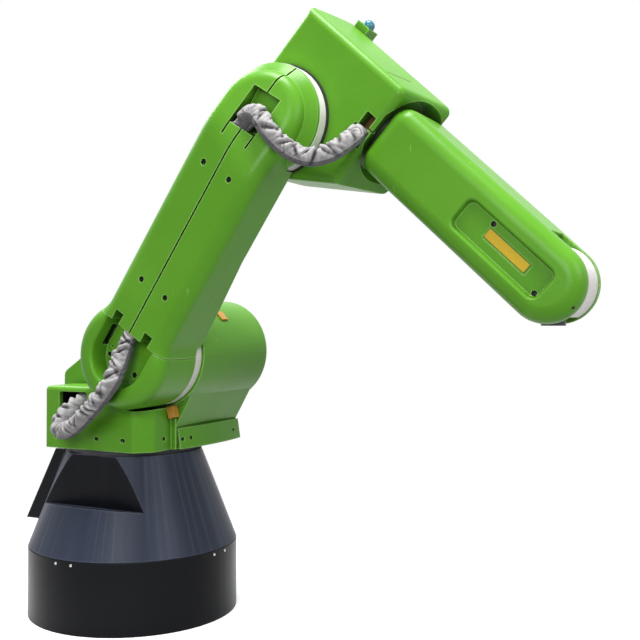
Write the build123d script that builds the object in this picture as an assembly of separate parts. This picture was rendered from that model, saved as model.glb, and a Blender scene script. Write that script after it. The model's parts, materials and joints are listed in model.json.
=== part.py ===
from build123d import *
import os
from math import acos, atan2, cos, degrees, radians, sin, sqrt, tan

# Six-axis jointed robot arm on a round skirted pedestal, in millimetres.
# Origin: on the floor, on the base turning axis. +X is the reach, -Y the side with the upper arm.

# Chain of axes
SHOULDER_X = 150.0
SHOULDER_Z = 793.0
UPPER_LENGTH = 790.0
ELBOW_RISE = 163.0
FORE_LENGTH = 858.0
REST_LEAN = 33.6
REST_DROP = 42.8

# Gaps
JOINT_GAP = 0.5
COVER_GAP = 1.5
SWEEP_GAP = 7.0

# Pedestal
DRUM_R = 319.0
DRUM_HEIGHT = 208.0
DRUM_WALL = 22.0
DRUM_CAVITY = 110.0
SEAM_GROOVE = 2.0
PLATE_CLEARANCE = 12.0
PLATE_R = DRUM_R - DRUM_WALL - PLATE_CLEARANCE
PLATE_THICK = 30.0
PLATE_HUB_R = 170.0
FLOOR_EDGE = 35.0
FLOOR_PCD = 2 * (PLATE_R - FLOOR_EDGE)
FLOOR_BOLTS = 8
FLOOR_HOLE_R = 11.0
CONE_TOP_R = 208.0
CONE_TOP_Z = 493.0
NOTCH_DEPTH = 16.0
NOTCH_LEDGE_Z = 336.0
NOTCH_LEDGE_RISE = 24.0
HOOD_HALF_WIDTH = 125.0
HOOD_TOP_OUT = 2.0
HOOD_BOTTOM_OUT = 34.0
HOOD_BOTTOM_Z = 268.0
SLEW_R = 195.0
SLEW_HEIGHT = 13.0

# Turntable
TABLE_BACK_X = -195.0
TABLE_FRONT_X = 205.0
TABLE_NEAR_Y = -190.0
TABLE_SEAM_Y = -60.0
BOX_TOP_Z = 694.0
COVER_FRONT_Z = 638.0
COVER_STEP_X = 100.0
CORNER_X = 144.0
FACET_X = 188.0
FACET_Y = -143.0
FACET_EDGE_R = 22.0
COVER_LIP = 6.0
BOX_EDGE_R = 14.0
OUTLET_BACK_X = -137.0
OUTLET_FRONT_X = -28.0
OUTLET_LOW_Z = 609.0
OUTLET_HIGH_Z = 678.0
OUTLET_DEPTH = 110.0
OUTLET_CORNER_R = 10.0
SLOT_LENGTH = 17.0
SLOT_WIDTH = 11.0
SLOT_DEPTH = 10.0
SLOT_RISE = 35.0
SLOT_X = (-150.0, 7.0, 106.0)
FACET_SLOT_Y = -99.0
APRON_SLOT_RISE = 29.0
APRON_SLOT_Y = (-37.0, 1.0, 239.0)
HUMP_R = 163.0
HUMP_NEAR_Y = -74.0
HUMP_FAR_Y = 304.0
HUMP_EDGE_R = 28.0
HUMP_TANGENT = 65.0
POST_FAR_Y = 288.0
POST_BACK_X = -234.0
POST_BACK_Z = 729.0
POST_CORNER_R = 24.0
POST_WAIST_X = 200.0
POST_SHOULDER_X = 265.0
POST_SHOULDER_Z = 683.0
POST_EDGE_R = 20.0
APRON_THICK = 14.0
APRON_TOP_THICK = 4.0
APRON_GAP = 8.0
APRON_HEIGHT = 62.0
APRON_BULGE = 16.0
APRON_TOP_BULGE = 5.0
APRON_INSET = 8.0
SHOULDER_RING_R = 154.0
RING_WIDTH = 30.0
STOP_SIZE = 34.0
STOP_THICK = 22.0
STOP_DEPTH = 26.0
STOP_WIDTH = 34.0
STOP_PROUD = 9.0
STOP_RING_GAP = 10.0
UPPER_STOP_ANGLE = 44.0
UPPER_STOP_Y = 85.0
LOWER_STOP_ANGLE = -74.0

# Upper arm
ARM_HALF = 122.0
ARM_NEAR_Y = -270.0
ARM_FAR_Y = -118.0
ARM_FOOT_Y = -90.0
ARM_TAPER_U = 400.0
ARM_EDGE_R = 40.0
ARM_FLARE_R = 80.0
NOSE_BACK_U = 105.0
NOSE_PITCH = 14.7
NOSE_SKEW = 20.0
NOSE_BLEND_R = 260.0
BULB_R = 155.0
LOWER_PARTING_U = 76.0
SCOOP_HALF = 94.0
SCOOP_CENTRE_U = -2.0
SCOOP_FLOOR_Y = -216.0
SCOOP_DRAFT = 12.0
CLIP_HALF = 15.0
CLIP_V = 60.0
CLIP_HEIGHT = 34.0
SCOOP_LIP_R = 10.0
SCOOP_SLOT_U = 17.0
SCOOP_SLOT_V = -91.0
SCOOP_SLOT_LENGTH = 70.0
SCOOP_SLOT_WIDTH = 18.0
SCOOP_SLOT_DEPTH = 20.0
SCOOP_HOLES = ((-37.0, -61.0, 7.5), (-12.0, -66.0, 3.5), (-36.0, 48.0, 8.5))
SCREW_R = 8.5
SCREW_DEPTH = 12.0
ARM_SCREW_U = (227.5, 604.0)
ARM_SCREW_V = 48.5
HEAD_R = 150.0
HEAD_RIM = 10.0
HEAD_CROWN_Y = -236.0
HEAD_MID_R = 116.0
HEAD_MID_Y = -190.0
ELBOW_RING_R = 152.0
RING_SEAT = 2.0
TRAY_HALF = 45.0
TRAY_LOW_U = -55.0
TRAY_HIGH_U = 60.0
TRAY_FLOOR_Y = -204.0
TRAY_LINING = 4.0
TRAY_SLIT = 5.0
TRAY_SLIT_LENGTH = 38.0
SEAM_WIDTH = 5.0

# Cable sleeves
SLEEVE_R = 24.0
SLEEVE_SINK = 22.0
ARC_SHARE = 0.45
TRAY_SLEEVE_V = -19.0
TRAY_SLEEVE_Y = -232.0

# Elbow housing
ELBOW_HALF = 112.0
ELBOW_BACK_U = -136.0
ELBOW_FRONT_U = 275.6
ELBOW_FRONT_SKEW = 12.3
ELBOW_FRONT_R = 24.0
ELBOW_HEADROOM = 151.0
ELBOW_TOP_V = ELBOW_RISE + ELBOW_HEADROOM
ELBOW_TOP_FALL = 22.0
RECESS_U = 247.0
RECESS_R = 116.0
RECESS_FLARE = 32.0
ELBOW_BARREL_R = 158.0
CHIN_U = 303.0
CHIN_V = 14.0
ELBOW_CORNER_R = 20.0
CHIN_CORNER_R = 30.0
ELBOW_EDGE_R = 22.0
ELBOW_FAR_EDGE_R = 12.0
BEARING_R = 157.0
BEARING_THICK = 6.0
PORT_U = 217.0
PORT_V = 117.0
PORT_CLEARANCE = 2.0
PORT_HALF = SLEEVE_R + PORT_CLEARANCE
PORT_SLOT_WIDTH = 34.0
PORT_SLOT_TOP_V = 186.0
PORT_DEPTH = 46.0
PORT_LINING = 5.0
PORT_SLIT = 5.0
PORT_SLIT_LENGTH = 60.0
PORT_SLIT_V = 152.0
PORT_SLIT_DEPTH = 20.0
LAMP_LOW_U = -118.0
LAMP_HIGH_U = -70.0
LAMP_PROUD = 20.0
LAMP_HEIGHT = 72.0
LAMP_TOP_V = ELBOW_TOP_V + LAMP_PROUD
LAMP_FOOT_V = LAMP_TOP_V - LAMP_HEIGHT
LAMP_WIDTH = 58.0
LENS_R = 18.0
LENS_RIM = 3.0

# Forearm
FORE_HALF_HEIGHT = 103.0
FORE_NEAR_Y = -113.0
FORE_FAR_Y = 88.0
FORE_FAR_BULGE = 20.0
FORE_TAPER_LENGTH = 218.0
FORE_START_U = 255.0
FORE_EDGE_R = 44.0
FORE_FAR_EDGE_R = 12.0
FORE_CORNER_R = 50.0
NECK_R = 82.0
CHEEK_INNER = 65.0
WEB_GAP = 83.0
WEB_END_U = FORE_LENGTH - WEB_GAP
PANEL_LENGTH = 302.0
PANEL_PAST_WRIST = 18.0
PANEL_END_U = FORE_LENGTH + PANEL_PAST_WRIST
PANEL_START_U = PANEL_END_U - PANEL_LENGTH
PANEL_LOW_V = 110.0
PANEL_HIGH_V = 203.0
PANEL_CORNER_R = 24.0
PANEL_DEPTH = 18.0
PANEL_DRAFT = 20.0
PANEL_LIP_R = 6.0
LABEL_LENGTH = 146.0
LABEL_INSET = 90.0
LABEL_START_U = PANEL_START_U + LABEL_INSET
LABEL_END_U = LABEL_START_U + LABEL_LENGTH
LABEL_LOW_V = 142.0
LABEL_HIGH_V = 176.0
LABEL_DEPTH = 4.0
PANEL_SCREW_R = 7.5
PANEL_SCREW_EDGE = 17.0

# Wrist and tool flange
BARREL_R = 99.5
BARREL_FLAT = 86.0
FLANGE_R = 31.5
FLANGE_FACE = 107.0
PILOT_R = 15.75
PILOT_DEPTH = 6.0
TOOL_PCD = 50.0
TOOL_BOLTS = 4
TOOL_HOLE_R = 3.0
TOOL_HOLE_DEPTH = 9.0

# Worked out axes and planes
LEAN = radians(REST_LEAN)
DROP = radians(REST_DROP)
ARM_U = Vector(sin(LEAN), 0, cos(LEAN))
ARM_V = Vector(cos(LEAN), 0, -sin(LEAN))
FORE_U = Vector(cos(DROP), 0, -sin(DROP))
FORE_V = Vector(sin(DROP), 0, cos(DROP))
SHOULDER = Vector(SHOULDER_X, 0, SHOULDER_Z)
ELBOW = SHOULDER + ARM_U * UPPER_LENGTH
WRIST = ELBOW + FORE_V * ELBOW_RISE + FORE_U * FORE_LENGTH
NEAR = (0, -1, 0)
SIDE_PLANE = Plane(origin=(0, 0, 0), x_dir=(1, 0, 0), z_dir=NEAR)
SHOULDER_PLANE = Plane(origin=SHOULDER, x_dir=(1, 0, 0), z_dir=NEAR)
ARM_PLANE = Plane(origin=SHOULDER, x_dir=ARM_U, z_dir=NEAR)
HEAD_PLANE = Plane(origin=ELBOW, x_dir=ARM_U, z_dir=NEAR)
ELBOW_PLANE = Plane(origin=ELBOW, x_dir=FORE_U, z_dir=NEAR)
WRIST_PLANE = Plane(origin=WRIST, x_dir=(1, 0, 0), z_dir=NEAR)
TABLE_Z = CONE_TOP_Z + SLEW_HEIGHT + JOINT_GAP
POST_WAIST_Z = TABLE_Z + APRON_HEIGHT + COVER_GAP
FAR_AWAY = 2000.0


# Builders shared by the pieces
def slab(plane, sketch, far_y, near_y):
    """Extrude a side-view sketch between two Y planes."""
    return extrude(plane.offset(-far_y) * sketch, amount=far_y - near_y)


def disc(plane, radius, far_y, near_y):
    """Round slab about a plane's origin."""
    return slab(plane, Circle(radius), far_y, near_y)


def near_edges(solid):
    """Edges of the face nearest the -Y side."""
    return solid.faces().sort_by(Axis.Y)[0].edges()


def far_edges(solid):
    """Edges of the face furthest to the +Y side."""
    return solid.faces().sort_by(Axis.Y)[-1].edges()


def cone_radius(z):
    """Outer radius of the cone skirt at a height."""
    share = (z - DRUM_HEIGHT) / (CONE_TOP_Z - DRUM_HEIGHT)
    return DRUM_R + (CONE_TOP_R - DRUM_R) * share


# Pedestal
def make_base_plate():
    plate = Cylinder(PLATE_R, PLATE_THICK, align=(Align.CENTER, Align.CENTER, Align.MIN))
    hub = Cylinder(PLATE_HUB_R, DRUM_CAVITY, align=(Align.CENTER, Align.CENTER, Align.MIN))
    hole = Cylinder(FLOOR_HOLE_R, 3 * PLATE_THICK)
    return plate + hub - PolarLocations(FLOOR_PCD / 2, FLOOR_BOLTS) * hole


def make_base_drum():
    inner = DRUM_R - DRUM_WALL
    profile = Polyline(
        (inner, 0),
        (DRUM_R, 0),
        (DRUM_R, DRUM_HEIGHT),
        (0, DRUM_HEIGHT),
        (0, DRUM_CAVITY),
        (inner, DRUM_CAVITY),
        close=True,
    )
    return revolve(Plane.XZ * make_face(profile), axis=Axis.Z)


def make_cone_skirt():
    low = DRUM_HEIGHT
    profile = Polyline(
        (0, low),
        (DRUM_R - SEAM_GROOVE, low),
        (DRUM_R - SEAM_GROOVE, low + SEAM_GROOVE),
        (cone_radius(low + SEAM_GROOVE), low + SEAM_GROOVE),
        (CONE_TOP_R, CONE_TOP_Z),
        (0, CONE_TOP_Z),
        close=True,
    )
    cone = revolve(Plane.XZ * make_face(profile), axis=Axis.Z)
    panel_y = CONE_TOP_R - NOTCH_DEPTH
    side = Polyline(
        (panel_y, NOTCH_LEDGE_Z),
        (DRUM_R, NOTCH_LEDGE_Z + NOTCH_LEDGE_RISE),
        (DRUM_R, FAR_AWAY),
        (panel_y, FAR_AWAY),
        close=True,
    )
    notch = extrude(Plane.YZ * make_face(side), amount=DRUM_R, both=True)
    for turn in (0, 180):
        cone -= Rot(0, 0, turn) * notch
    return cone


def make_rear_hood():
    top_x = -(CONE_TOP_R + HOOD_TOP_OUT)
    low_x = -(cone_radius(HOOD_BOTTOM_Z) + HOOD_BOTTOM_OUT)
    side = Polyline(
        (0, CONE_TOP_Z),
        (top_x, CONE_TOP_Z),
        (low_x, HOOD_BOTTOM_Z),
        (0, HOOD_BOTTOM_Z),
        close=True,
    )
    block = slab(SIDE_PLANE, make_face(side), HOOD_HALF_WIDTH, -HOOD_HALF_WIDTH)
    over_z = CONE_TOP_Z + JOINT_GAP
    profile = Polyline(
        (0, 0),
        (cone_radius(0) + COVER_GAP / 2, 0),
        (cone_radius(over_z) + COVER_GAP / 2, over_z),
        (0, over_z),
        close=True,
    )
    return block - revolve(Plane.XZ * make_face(profile), axis=Axis.Z)


def make_slew_ring():
    ring = Cylinder(SLEW_R, SLEW_HEIGHT, align=(Align.CENTER, Align.CENTER, Align.MIN))
    return Pos(0, 0, CONE_TOP_Z) * ring


# Turntable
def make_cable_box_cover():
    side = Polyline(
        (TABLE_BACK_X, TABLE_Z),
        (TABLE_BACK_X, BOX_TOP_Z),
        (COVER_STEP_X, BOX_TOP_Z),
        (COVER_STEP_X, COVER_FRONT_Z),
        (TABLE_FRONT_X, COVER_FRONT_Z),
        (TABLE_FRONT_X, TABLE_Z),
        close=True,
    )
    cover = slab(SIDE_PLANE, make_face(side), TABLE_SEAM_Y, TABLE_NEAR_Y)
    plan = Polyline(
        (TABLE_BACK_X, TABLE_NEAR_Y),
        (CORNER_X, TABLE_NEAR_Y),
        (FACET_X, FACET_Y),
        (FACET_X, TABLE_SEAM_Y - COVER_LIP),
        (TABLE_FRONT_X, TABLE_SEAM_Y - COVER_LIP),
        (TABLE_FRONT_X, TABLE_SEAM_Y),
        (TABLE_BACK_X, TABLE_SEAM_Y),
        close=True,
    )
    plan = make_face(plan)
    bends = [v for v in plan.vertices() if v.X > CORNER_X - JOINT_GAP and v.Y < FACET_Y + JOINT_GAP]
    plan = fillet(bends, FACET_EDGE_R)
    cover = cover & extrude(plan, amount=FAR_AWAY)
    top_edges = cover.edges().group_by(Axis.Z)[-1]
    rear_top = top_edges.filter_by(Axis.Y).sort_by(Axis.X)[0]
    near_top = top_edges.filter_by(Axis.X).sort_by(Axis.Y)[0]
    rear_near = cover.edges().filter_by(Axis.Z).group_by(Axis.X)[0].sort_by(Axis.Y)[0]
    cover = fillet([rear_top, near_top, rear_near], BOX_EDGE_R)
    cover -= disc(SHOULDER_PLANE, max(BULB_R + SWEEP_GAP, HUMP_R + COVER_GAP), 0, -FAR_AWAY)
    cover -= stop_block(LOWER_STOP_ANGLE, COVER_GAP)
    width = OUTLET_FRONT_X - OUTLET_BACK_X
    height = OUTLET_HIGH_Z - OUTLET_LOW_Z
    middle = Pos((OUTLET_BACK_X + OUTLET_FRONT_X) / 2, (OUTLET_LOW_Z + OUTLET_HIGH_Z) / 2)
    outlet = middle * RectangleRounded(width, height, OUTLET_CORNER_R)
    cover -= slab(SIDE_PLANE, outlet, TABLE_NEAR_Y + OUTLET_DEPTH, TABLE_NEAR_Y - SWEEP_GAP)
    for x in SLOT_X:
        cover -= screw_slot((x, TABLE_NEAR_Y, TABLE_Z + SLOT_RISE), (1, 0, 0), NEAR)
    return cover - screw_slot((FACET_X, FACET_SLOT_Y, TABLE_Z + SLOT_RISE), (0, 1, 0), (1, 0, 0))


def screw_slot(place, along, outward):
    """Blind slot for a cover screw, sunk below a surface point."""
    plane = Plane(origin=place, x_dir=along, z_dir=outward)
    return extrude(plane * SlotOverall(SLOT_LENGTH, SLOT_WIDTH), amount=SLOT_DEPTH, both=True)


def make_shoulder_housing():
    side = Polyline(
        (POST_BACK_X, TABLE_Z),
        (POST_BACK_X, POST_BACK_Z),
        (SHOULDER_X - HUMP_R * cos(radians(HUMP_TANGENT)), SHOULDER_Z + HUMP_R * sin(radians(HUMP_TANGENT))),
        (SHOULDER_X, SHOULDER_Z),
        (POST_SHOULDER_X, POST_SHOULDER_Z),
        (POST_WAIST_X, POST_WAIST_Z),
        (POST_WAIST_X, TABLE_Z),
        close=True,
    )
    side = make_face(side)
    side = fillet(side.vertices().group_by(Axis.X)[0].sort_by(Axis.Y)[-1], POST_CORNER_R)
    post = slab(SIDE_PLANE, side, POST_FAR_Y, TABLE_SEAM_Y)
    post = fillet(far_edges(post), POST_EDGE_R)
    hump = disc(SHOULDER_PLANE, HUMP_R, HUMP_FAR_Y, HUMP_NEAR_Y)
    return post + fillet(far_edges(hump), HUMP_EDGE_R)


def apron_plan(z, thick, bulge):
    """Plan of the apron at a height: flat behind, bowed out in front."""
    inner = POST_WAIST_X
    outer = inner + thick
    near_y = TABLE_SEAM_Y + APRON_GAP
    end_y = POST_FAR_Y - APRON_INSET
    outline = [
        Line((inner, near_y), (inner, end_y)),
        Line((inner, end_y), (outer, end_y)),
        ThreePointArc((outer, end_y), (outer + bulge, (end_y + near_y) / 2), (outer, near_y)),
        Line((outer, near_y), (inner, near_y)),
    ]
    return Pos(0, 0, z) * make_face(outline)


def make_front_apron():
    low = apron_plan(TABLE_Z, APRON_THICK, APRON_BULGE)
    high = apron_plan(TABLE_Z + APRON_HEIGHT, APRON_TOP_THICK, APRON_TOP_BULGE)
    apron = loft([low, high])
    for y in APRON_SLOT_Y:
        apron -= screw_slot((POST_WAIST_X + APRON_THICK, y, TABLE_Z + APRON_SLOT_RISE), (0, 1, 0), (1, 0, 0))
    return apron


def make_shoulder_ring():
    return disc(SHOULDER_PLANE, SHOULDER_RING_R, HUMP_NEAR_Y, HUMP_NEAR_Y - RING_WIDTH)


def make_upper_stop():
    block = Box(STOP_PROUD, STOP_WIDTH, STOP_SIZE, align=(Align.MIN, Align.CENTER, Align.CENTER))
    place = Location(SHOULDER) * Rot(0, -UPPER_STOP_ANGLE, 0) * Pos(HUMP_R - STOP_PROUD / 2, UPPER_STOP_Y, 0)
    return place * block - disc(SHOULDER_PLANE, HUMP_R, HUMP_FAR_Y, HUMP_NEAR_Y)


def stop_block(angle, grow):
    """Square block on the post's near face beside the ring, grown on every side for its pocket."""
    block = Box(STOP_SIZE + 2 * grow, STOP_DEPTH + 2 * grow, STOP_THICK + 2 * grow)
    middle_r = SHOULDER_RING_R + STOP_RING_GAP + STOP_SIZE / 2
    return Location(SHOULDER) * Rot(0, -angle, 0) * Pos(middle_r, TABLE_SEAM_Y - STOP_DEPTH / 2, 0) * block


# Upper arm
def make_arm_solid():
    """Beam with a round foot, whose near face slants away into the domed head."""
    beam = Pos(UPPER_LENGTH / 2, 0) * Rectangle(UPPER_LENGTH, 2 * ARM_HALF)
    beam += Pos(UPPER_LENGTH, 0) * Circle(ARM_HALF)
    profile = beam + Circle(BULB_R)
    meet_u = sqrt(BULB_R**2 - ARM_HALF**2)
    corners = [v for v in profile.vertices() if abs(v.X - meet_u) < JOINT_GAP]
    profile = fillet(corners, ARM_FLARE_R)
    body = slab(ARM_PLANE, profile, ARM_FOOT_Y, ARM_NEAR_Y)
    slant = radians(NOSE_PITCH)
    skew = radians(NOSE_SKEW)
    downhill = ARM_U * cos(skew) + ARM_V * sin(skew)
    crest = ELBOW - ARM_U * NOSE_BACK_U + Vector(0, ARM_NEAR_Y, 0)
    nose = Plane(origin=crest, x_dir=ARM_V, z_dir=downhill * sin(slant) + Vector(*NEAR) * cos(slant))
    body -= extrude(nose * Rectangle(FAR_AWAY, FAR_AWAY), amount=FAR_AWAY)
    crease = [e for e in near_edges(body) if abs(nose.to_local_coords(e.center()).Z) < JOINT_GAP]
    body = fillet(crease, NOSE_BLEND_R)
    near_faces = [f for f in body.faces() if f.normal_at().Y < -cos(2 * slant)]
    borders = [e for f in near_faces for e in f.edges()]
    rim = [e for e in borders if sum(e.center() == other.center() for other in borders) == 1]
    body = fillet(rim, ARM_EDGE_R)
    wedge = Polyline(
        (BULB_R, -ARM_FOOT_Y),
        (ARM_TAPER_U, -ARM_FAR_Y),
        (FAR_AWAY, -ARM_FAR_Y),
        (FAR_AWAY, 0),
        (BULB_R, 0),
        close=True,
    )
    wedge_plane = Plane(origin=SHOULDER, x_dir=ARM_U, z_dir=ARM_V)
    body -= extrude(wedge_plane * make_face(wedge), amount=FAR_AWAY / 4, both=True)
    body -= disc(ARM_PLANE, BULB_R + SWEEP_GAP, 0, HUMP_NEAR_Y - RING_WIDTH - JOINT_GAP)
    return body


def make_head():
    profile = make_face(
        [
            Line((0, -HEAD_CROWN_Y), (0, -ring_seat_y())),
            Line((0, -ring_seat_y()), (HEAD_R, -ring_seat_y())),
            Line((HEAD_R, -ring_seat_y()), (HEAD_R, -ring_seat_y() + HEAD_RIM)),
            ThreePointArc((HEAD_R, -ring_seat_y() + HEAD_RIM), (HEAD_MID_R, -HEAD_MID_Y), (0, -HEAD_CROWN_Y)),
        ]
    )
    plane = Plane(origin=ELBOW, x_dir=ARM_U, z_dir=ARM_V)
    return revolve(plane * profile, axis=Axis(ELBOW, NEAR))


def ring_seat_y():
    """Y plane where the elbow ring meets the arm's head."""
    return -ELBOW_HALF - BEARING_THICK - JOINT_GAP - RING_WIDTH - RING_SEAT


def tray_sketch():
    """Outline of the tray with the two slits below its corners."""
    tray = Pos((TRAY_LOW_U + TRAY_HIGH_U) / 2, 0) * Rectangle(TRAY_HIGH_U - TRAY_LOW_U, 2 * TRAY_HALF)
    for side in (1, -1):
        place = Pos(TRAY_LOW_U - TRAY_SLIT_LENGTH / 2, side * (TRAY_HALF - TRAY_SLIT / 2))
        tray += place * Rectangle(TRAY_SLIT_LENGTH, TRAY_SLIT)
    return tray


def make_arm_pieces():
    arm = make_arm_solid()
    arm -= disc(HEAD_PLANE, HEAD_R + SWEEP_GAP, 0, ring_seat_y())
    arm += make_head()
    arm -= slab(HEAD_PLANE, tray_sketch(), TRAY_FLOOR_Y, -FAR_AWAY)
    throat = Plane(origin=arm_point(UPPER_LENGTH + TRAY_LOW_U, TRAY_SLEEVE_V, TRAY_SLEEVE_Y), z_dir=-ARM_U)
    arm -= extrude(throat * Circle(SLEEVE_R + COVER_GAP), amount=SLEEVE_SINK)
    lower_zone = Pos(LOWER_PARTING_U - FAR_AWAY / 2, 0) * Rectangle(FAR_AWAY, FAR_AWAY)
    gap_zone = Pos(LOWER_PARTING_U + COVER_GAP - FAR_AWAY / 2, 0) * Rectangle(FAR_AWAY, FAR_AWAY)
    lower = arm & slab(ARM_PLANE, lower_zone, 0, -FAR_AWAY)
    scoop = Pos(SCOOP_CENTRE_U, 0) * Circle(SCOOP_HALF)
    length = 2 * LOWER_PARTING_U - SCOOP_CENTRE_U
    scoop += Pos(SCOOP_CENTRE_U + length / 2, 0) * Rectangle(length, 2 * SCOOP_HALF)
    depth = SCOOP_FLOOR_Y - ARM_NEAR_Y
    lower -= extrude(ARM_PLANE.offset(-ARM_NEAR_Y) * scoop, amount=-depth, taper=SCOOP_DRAFT)
    lower = fillet(scoop_rim(lower), SCOOP_LIP_R)
    slot = Pos(SCOOP_SLOT_U, -SCOOP_SLOT_V) * Rectangle(SCOOP_SLOT_LENGTH, SCOOP_SLOT_WIDTH)
    lower -= slab(ARM_PLANE, slot, SCOOP_FLOOR_Y + SCOOP_SLOT_DEPTH, SCOOP_FLOOR_Y - SCOOP_SLOT_DEPTH)
    for u, v, radius in SCOOP_HOLES:
        hole = Pos(u, -v) * Circle(radius)
        lower -= slab(ARM_PLANE, hole, SCOOP_FLOOR_Y + SCREW_DEPTH, SCOOP_FLOOR_Y - JOINT_GAP)
    upper = arm - slab(ARM_PLANE, gap_zone, 0, -FAR_AWAY)
    for u in ARM_SCREW_U:
        for side in (1, -1):
            well = Pos(u, side * ARM_SCREW_V) * Circle(SCREW_R)
            upper -= slab(ARM_PLANE, well, ARM_NEAR_Y + SCREW_DEPTH, -FAR_AWAY)
    for side in (1, -1):
        clip = Pos(LOWER_PARTING_U + CLIP_HEIGHT / 2, side * CLIP_V) * Rectangle(CLIP_HEIGHT, 2 * CLIP_HALF)
        upper -= slab(ARM_PLANE, clip, SCOOP_FLOOR_Y, -FAR_AWAY)
    half = Pos(0, FAR_AWAY / 2 + SEAM_WIDTH / 2) * Rectangle(2 * FAR_AWAY, FAR_AWAY)
    rear = upper & slab(ARM_PLANE, half, 0, -FAR_AWAY)
    front = upper & slab(ARM_PLANE, Rot(0, 0, 180) * half, 0, -FAR_AWAY)
    return front, rear, lower


def scoop_rim(lower):
    """Edges where the scoop opens into the near face of the lower cover."""
    rim = []
    for edge in near_edges(lower):
        middle = ARM_PLANE.to_local_coords(edge.center())
        ahead = SCOOP_CENTRE_U - SCOOP_HALF - JOINT_GAP < middle.X < LOWER_PARTING_U - JOINT_GAP
        if ahead and abs(middle.Y) < SCOOP_HALF + JOINT_GAP:
            rim.append(edge)
    return rim


def make_cable_tray():
    tray_mid = (TRAY_LOW_U + TRAY_HIGH_U) / 2
    lining = Pos(tray_mid, 0) * Rectangle(TRAY_HIGH_U - TRAY_LOW_U, 2 * TRAY_HALF)
    return slab(HEAD_PLANE, lining, TRAY_FLOOR_Y, TRAY_FLOOR_Y - TRAY_LINING)


def make_elbow_ring():
    return disc(HEAD_PLANE, ELBOW_RING_R, ring_seat_y() + RING_WIDTH + RING_SEAT, ring_seat_y())


# Elbow
def make_elbow_housing():
    """Housing with a falling roof, a skewed front and a flared recess for the turning forearm."""
    reach = sqrt(CHIN_U**2 + CHIN_V**2)
    touch = atan2(CHIN_V, CHIN_U) - acos(ELBOW_BARREL_R / reach)
    outline = Polyline(
        (ELBOW_BACK_U, ELBOW_TOP_V),
        (CHIN_U, ELBOW_TOP_V),
        (CHIN_U, CHIN_V),
        (ELBOW_BARREL_R * cos(touch), ELBOW_BARREL_R * sin(touch)),
        (0, 0),
        (ELBOW_BACK_U, 0),
        close=True,
    )
    profile = make_face(outline)
    profile = fillet(profile.vertices().group_by(Axis.Y)[-1], ELBOW_CORNER_R)
    chin = [v for v in profile.vertices() if abs(v.X - CHIN_U) < JOINT_GAP and abs(v.Y - CHIN_V) < JOINT_GAP]
    profile = fillet(chin, CHIN_CORNER_R) + Circle(ELBOW_BARREL_R)
    housing = slab(ELBOW_PLANE, profile, ELBOW_HALF, -ELBOW_HALF)
    housing = fillet(far_edges(housing), ELBOW_FAR_EDGE_R)
    crest = ELBOW + FORE_V * ELBOW_TOP_V + Vector(0, ELBOW_HALF, 0)
    fall = Vector(0, -2 * ELBOW_HALF, 0) - FORE_V * ELBOW_TOP_FALL
    roof = Plane(origin=crest, x_dir=FORE_U, z_dir=fall.cross(FORE_U))
    skew = radians(ELBOW_FRONT_SKEW)
    ahead = FORE_U * cos(skew) - Vector(0, sin(skew), 0)
    front = Plane(origin=ELBOW + FORE_U * ELBOW_FRONT_U, x_dir=FORE_V, z_dir=ahead)
    mould = extrude(roof * Rectangle(FAR_AWAY, FAR_AWAY), amount=-FAR_AWAY)
    mould -= extrude(front * Rectangle(2 * FAR_AWAY, 2 * FAR_AWAY), amount=FAR_AWAY)
    brow = [e for e in mould.edges() if abs(roof.to_local_coords(e.center()).Z) < JOINT_GAP]
    brow = [e for e in brow if abs(front.to_local_coords(e.center()).Z) < JOINT_GAP]
    housing = housing & fillet(brow, ELBOW_FRONT_R)
    housing = fillet(near_edges(housing), ELBOW_EDGE_R)
    housing -= turned_zone(RECESS_U, 0, inside=True)
    slit = Pos(PORT_U + PORT_SLIT_LENGTH / 2, PORT_SLIT_V) * Rectangle(PORT_SLIT_LENGTH, PORT_SLIT)
    housing -= slab(ELBOW_PLANE, slit, -ELBOW_HALF + PORT_SLIT_DEPTH, -FAR_AWAY)
    return housing - slab(ELBOW_PLANE, port_sketch(), -ELBOW_HALF + PORT_DEPTH, -FAR_AWAY)


def turned_zone(start_u, inset, inside):
    """Space inside or outside a cone about the forearm's roll axis that flares towards the wrist."""
    slope = tan(radians(RECESS_FLARE))
    near_r = RECESS_R + slope * (start_u - RECESS_U) - inset / cos(radians(RECESS_FLARE))
    end_u = start_u + ELBOW_HALF
    far_r = near_r + slope * (end_u - start_u)
    edge_r = 0 if inside else 2 * far_r
    section = Polyline((edge_r, start_u), (near_r, start_u), (far_r, end_u), (edge_r, end_u), close=True)
    turned = revolve(Plane.XZ * make_face(section), axis=Axis.Z)
    return Plane(origin=ELBOW + FORE_V * ELBOW_RISE, x_dir=NEAR, z_dir=FORE_U) * turned


def port_sketch():
    """Cable port outline: a square mouth for the sleeve with a narrower slot above it."""
    mouth = Pos(PORT_U, PORT_V) * Rectangle(2 * PORT_HALF, 2 * PORT_HALF)
    slot_height = PORT_SLOT_TOP_V - PORT_V
    return mouth + Pos(PORT_U, PORT_V + slot_height / 2) * Rectangle(PORT_SLOT_WIDTH, slot_height)


def make_cable_port():
    back_y = -ELBOW_HALF + PORT_DEPTH
    return slab(ELBOW_PLANE, port_sketch(), back_y, back_y - PORT_LINING)


def make_elbow_bearing():
    return disc(ELBOW_PLANE, BEARING_R, -ELBOW_HALF, -ELBOW_HALF - BEARING_THICK)


def make_lamp_box():
    middle = Pos((LAMP_LOW_U + LAMP_HIGH_U) / 2, (LAMP_FOOT_V + LAMP_TOP_V) / 2)
    sketch = middle * Rectangle(LAMP_HIGH_U - LAMP_LOW_U, LAMP_TOP_V - LAMP_FOOT_V)
    return slab(ELBOW_PLANE, sketch, ELBOW_HALF + LAMP_WIDTH, ELBOW_HALF)


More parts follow.
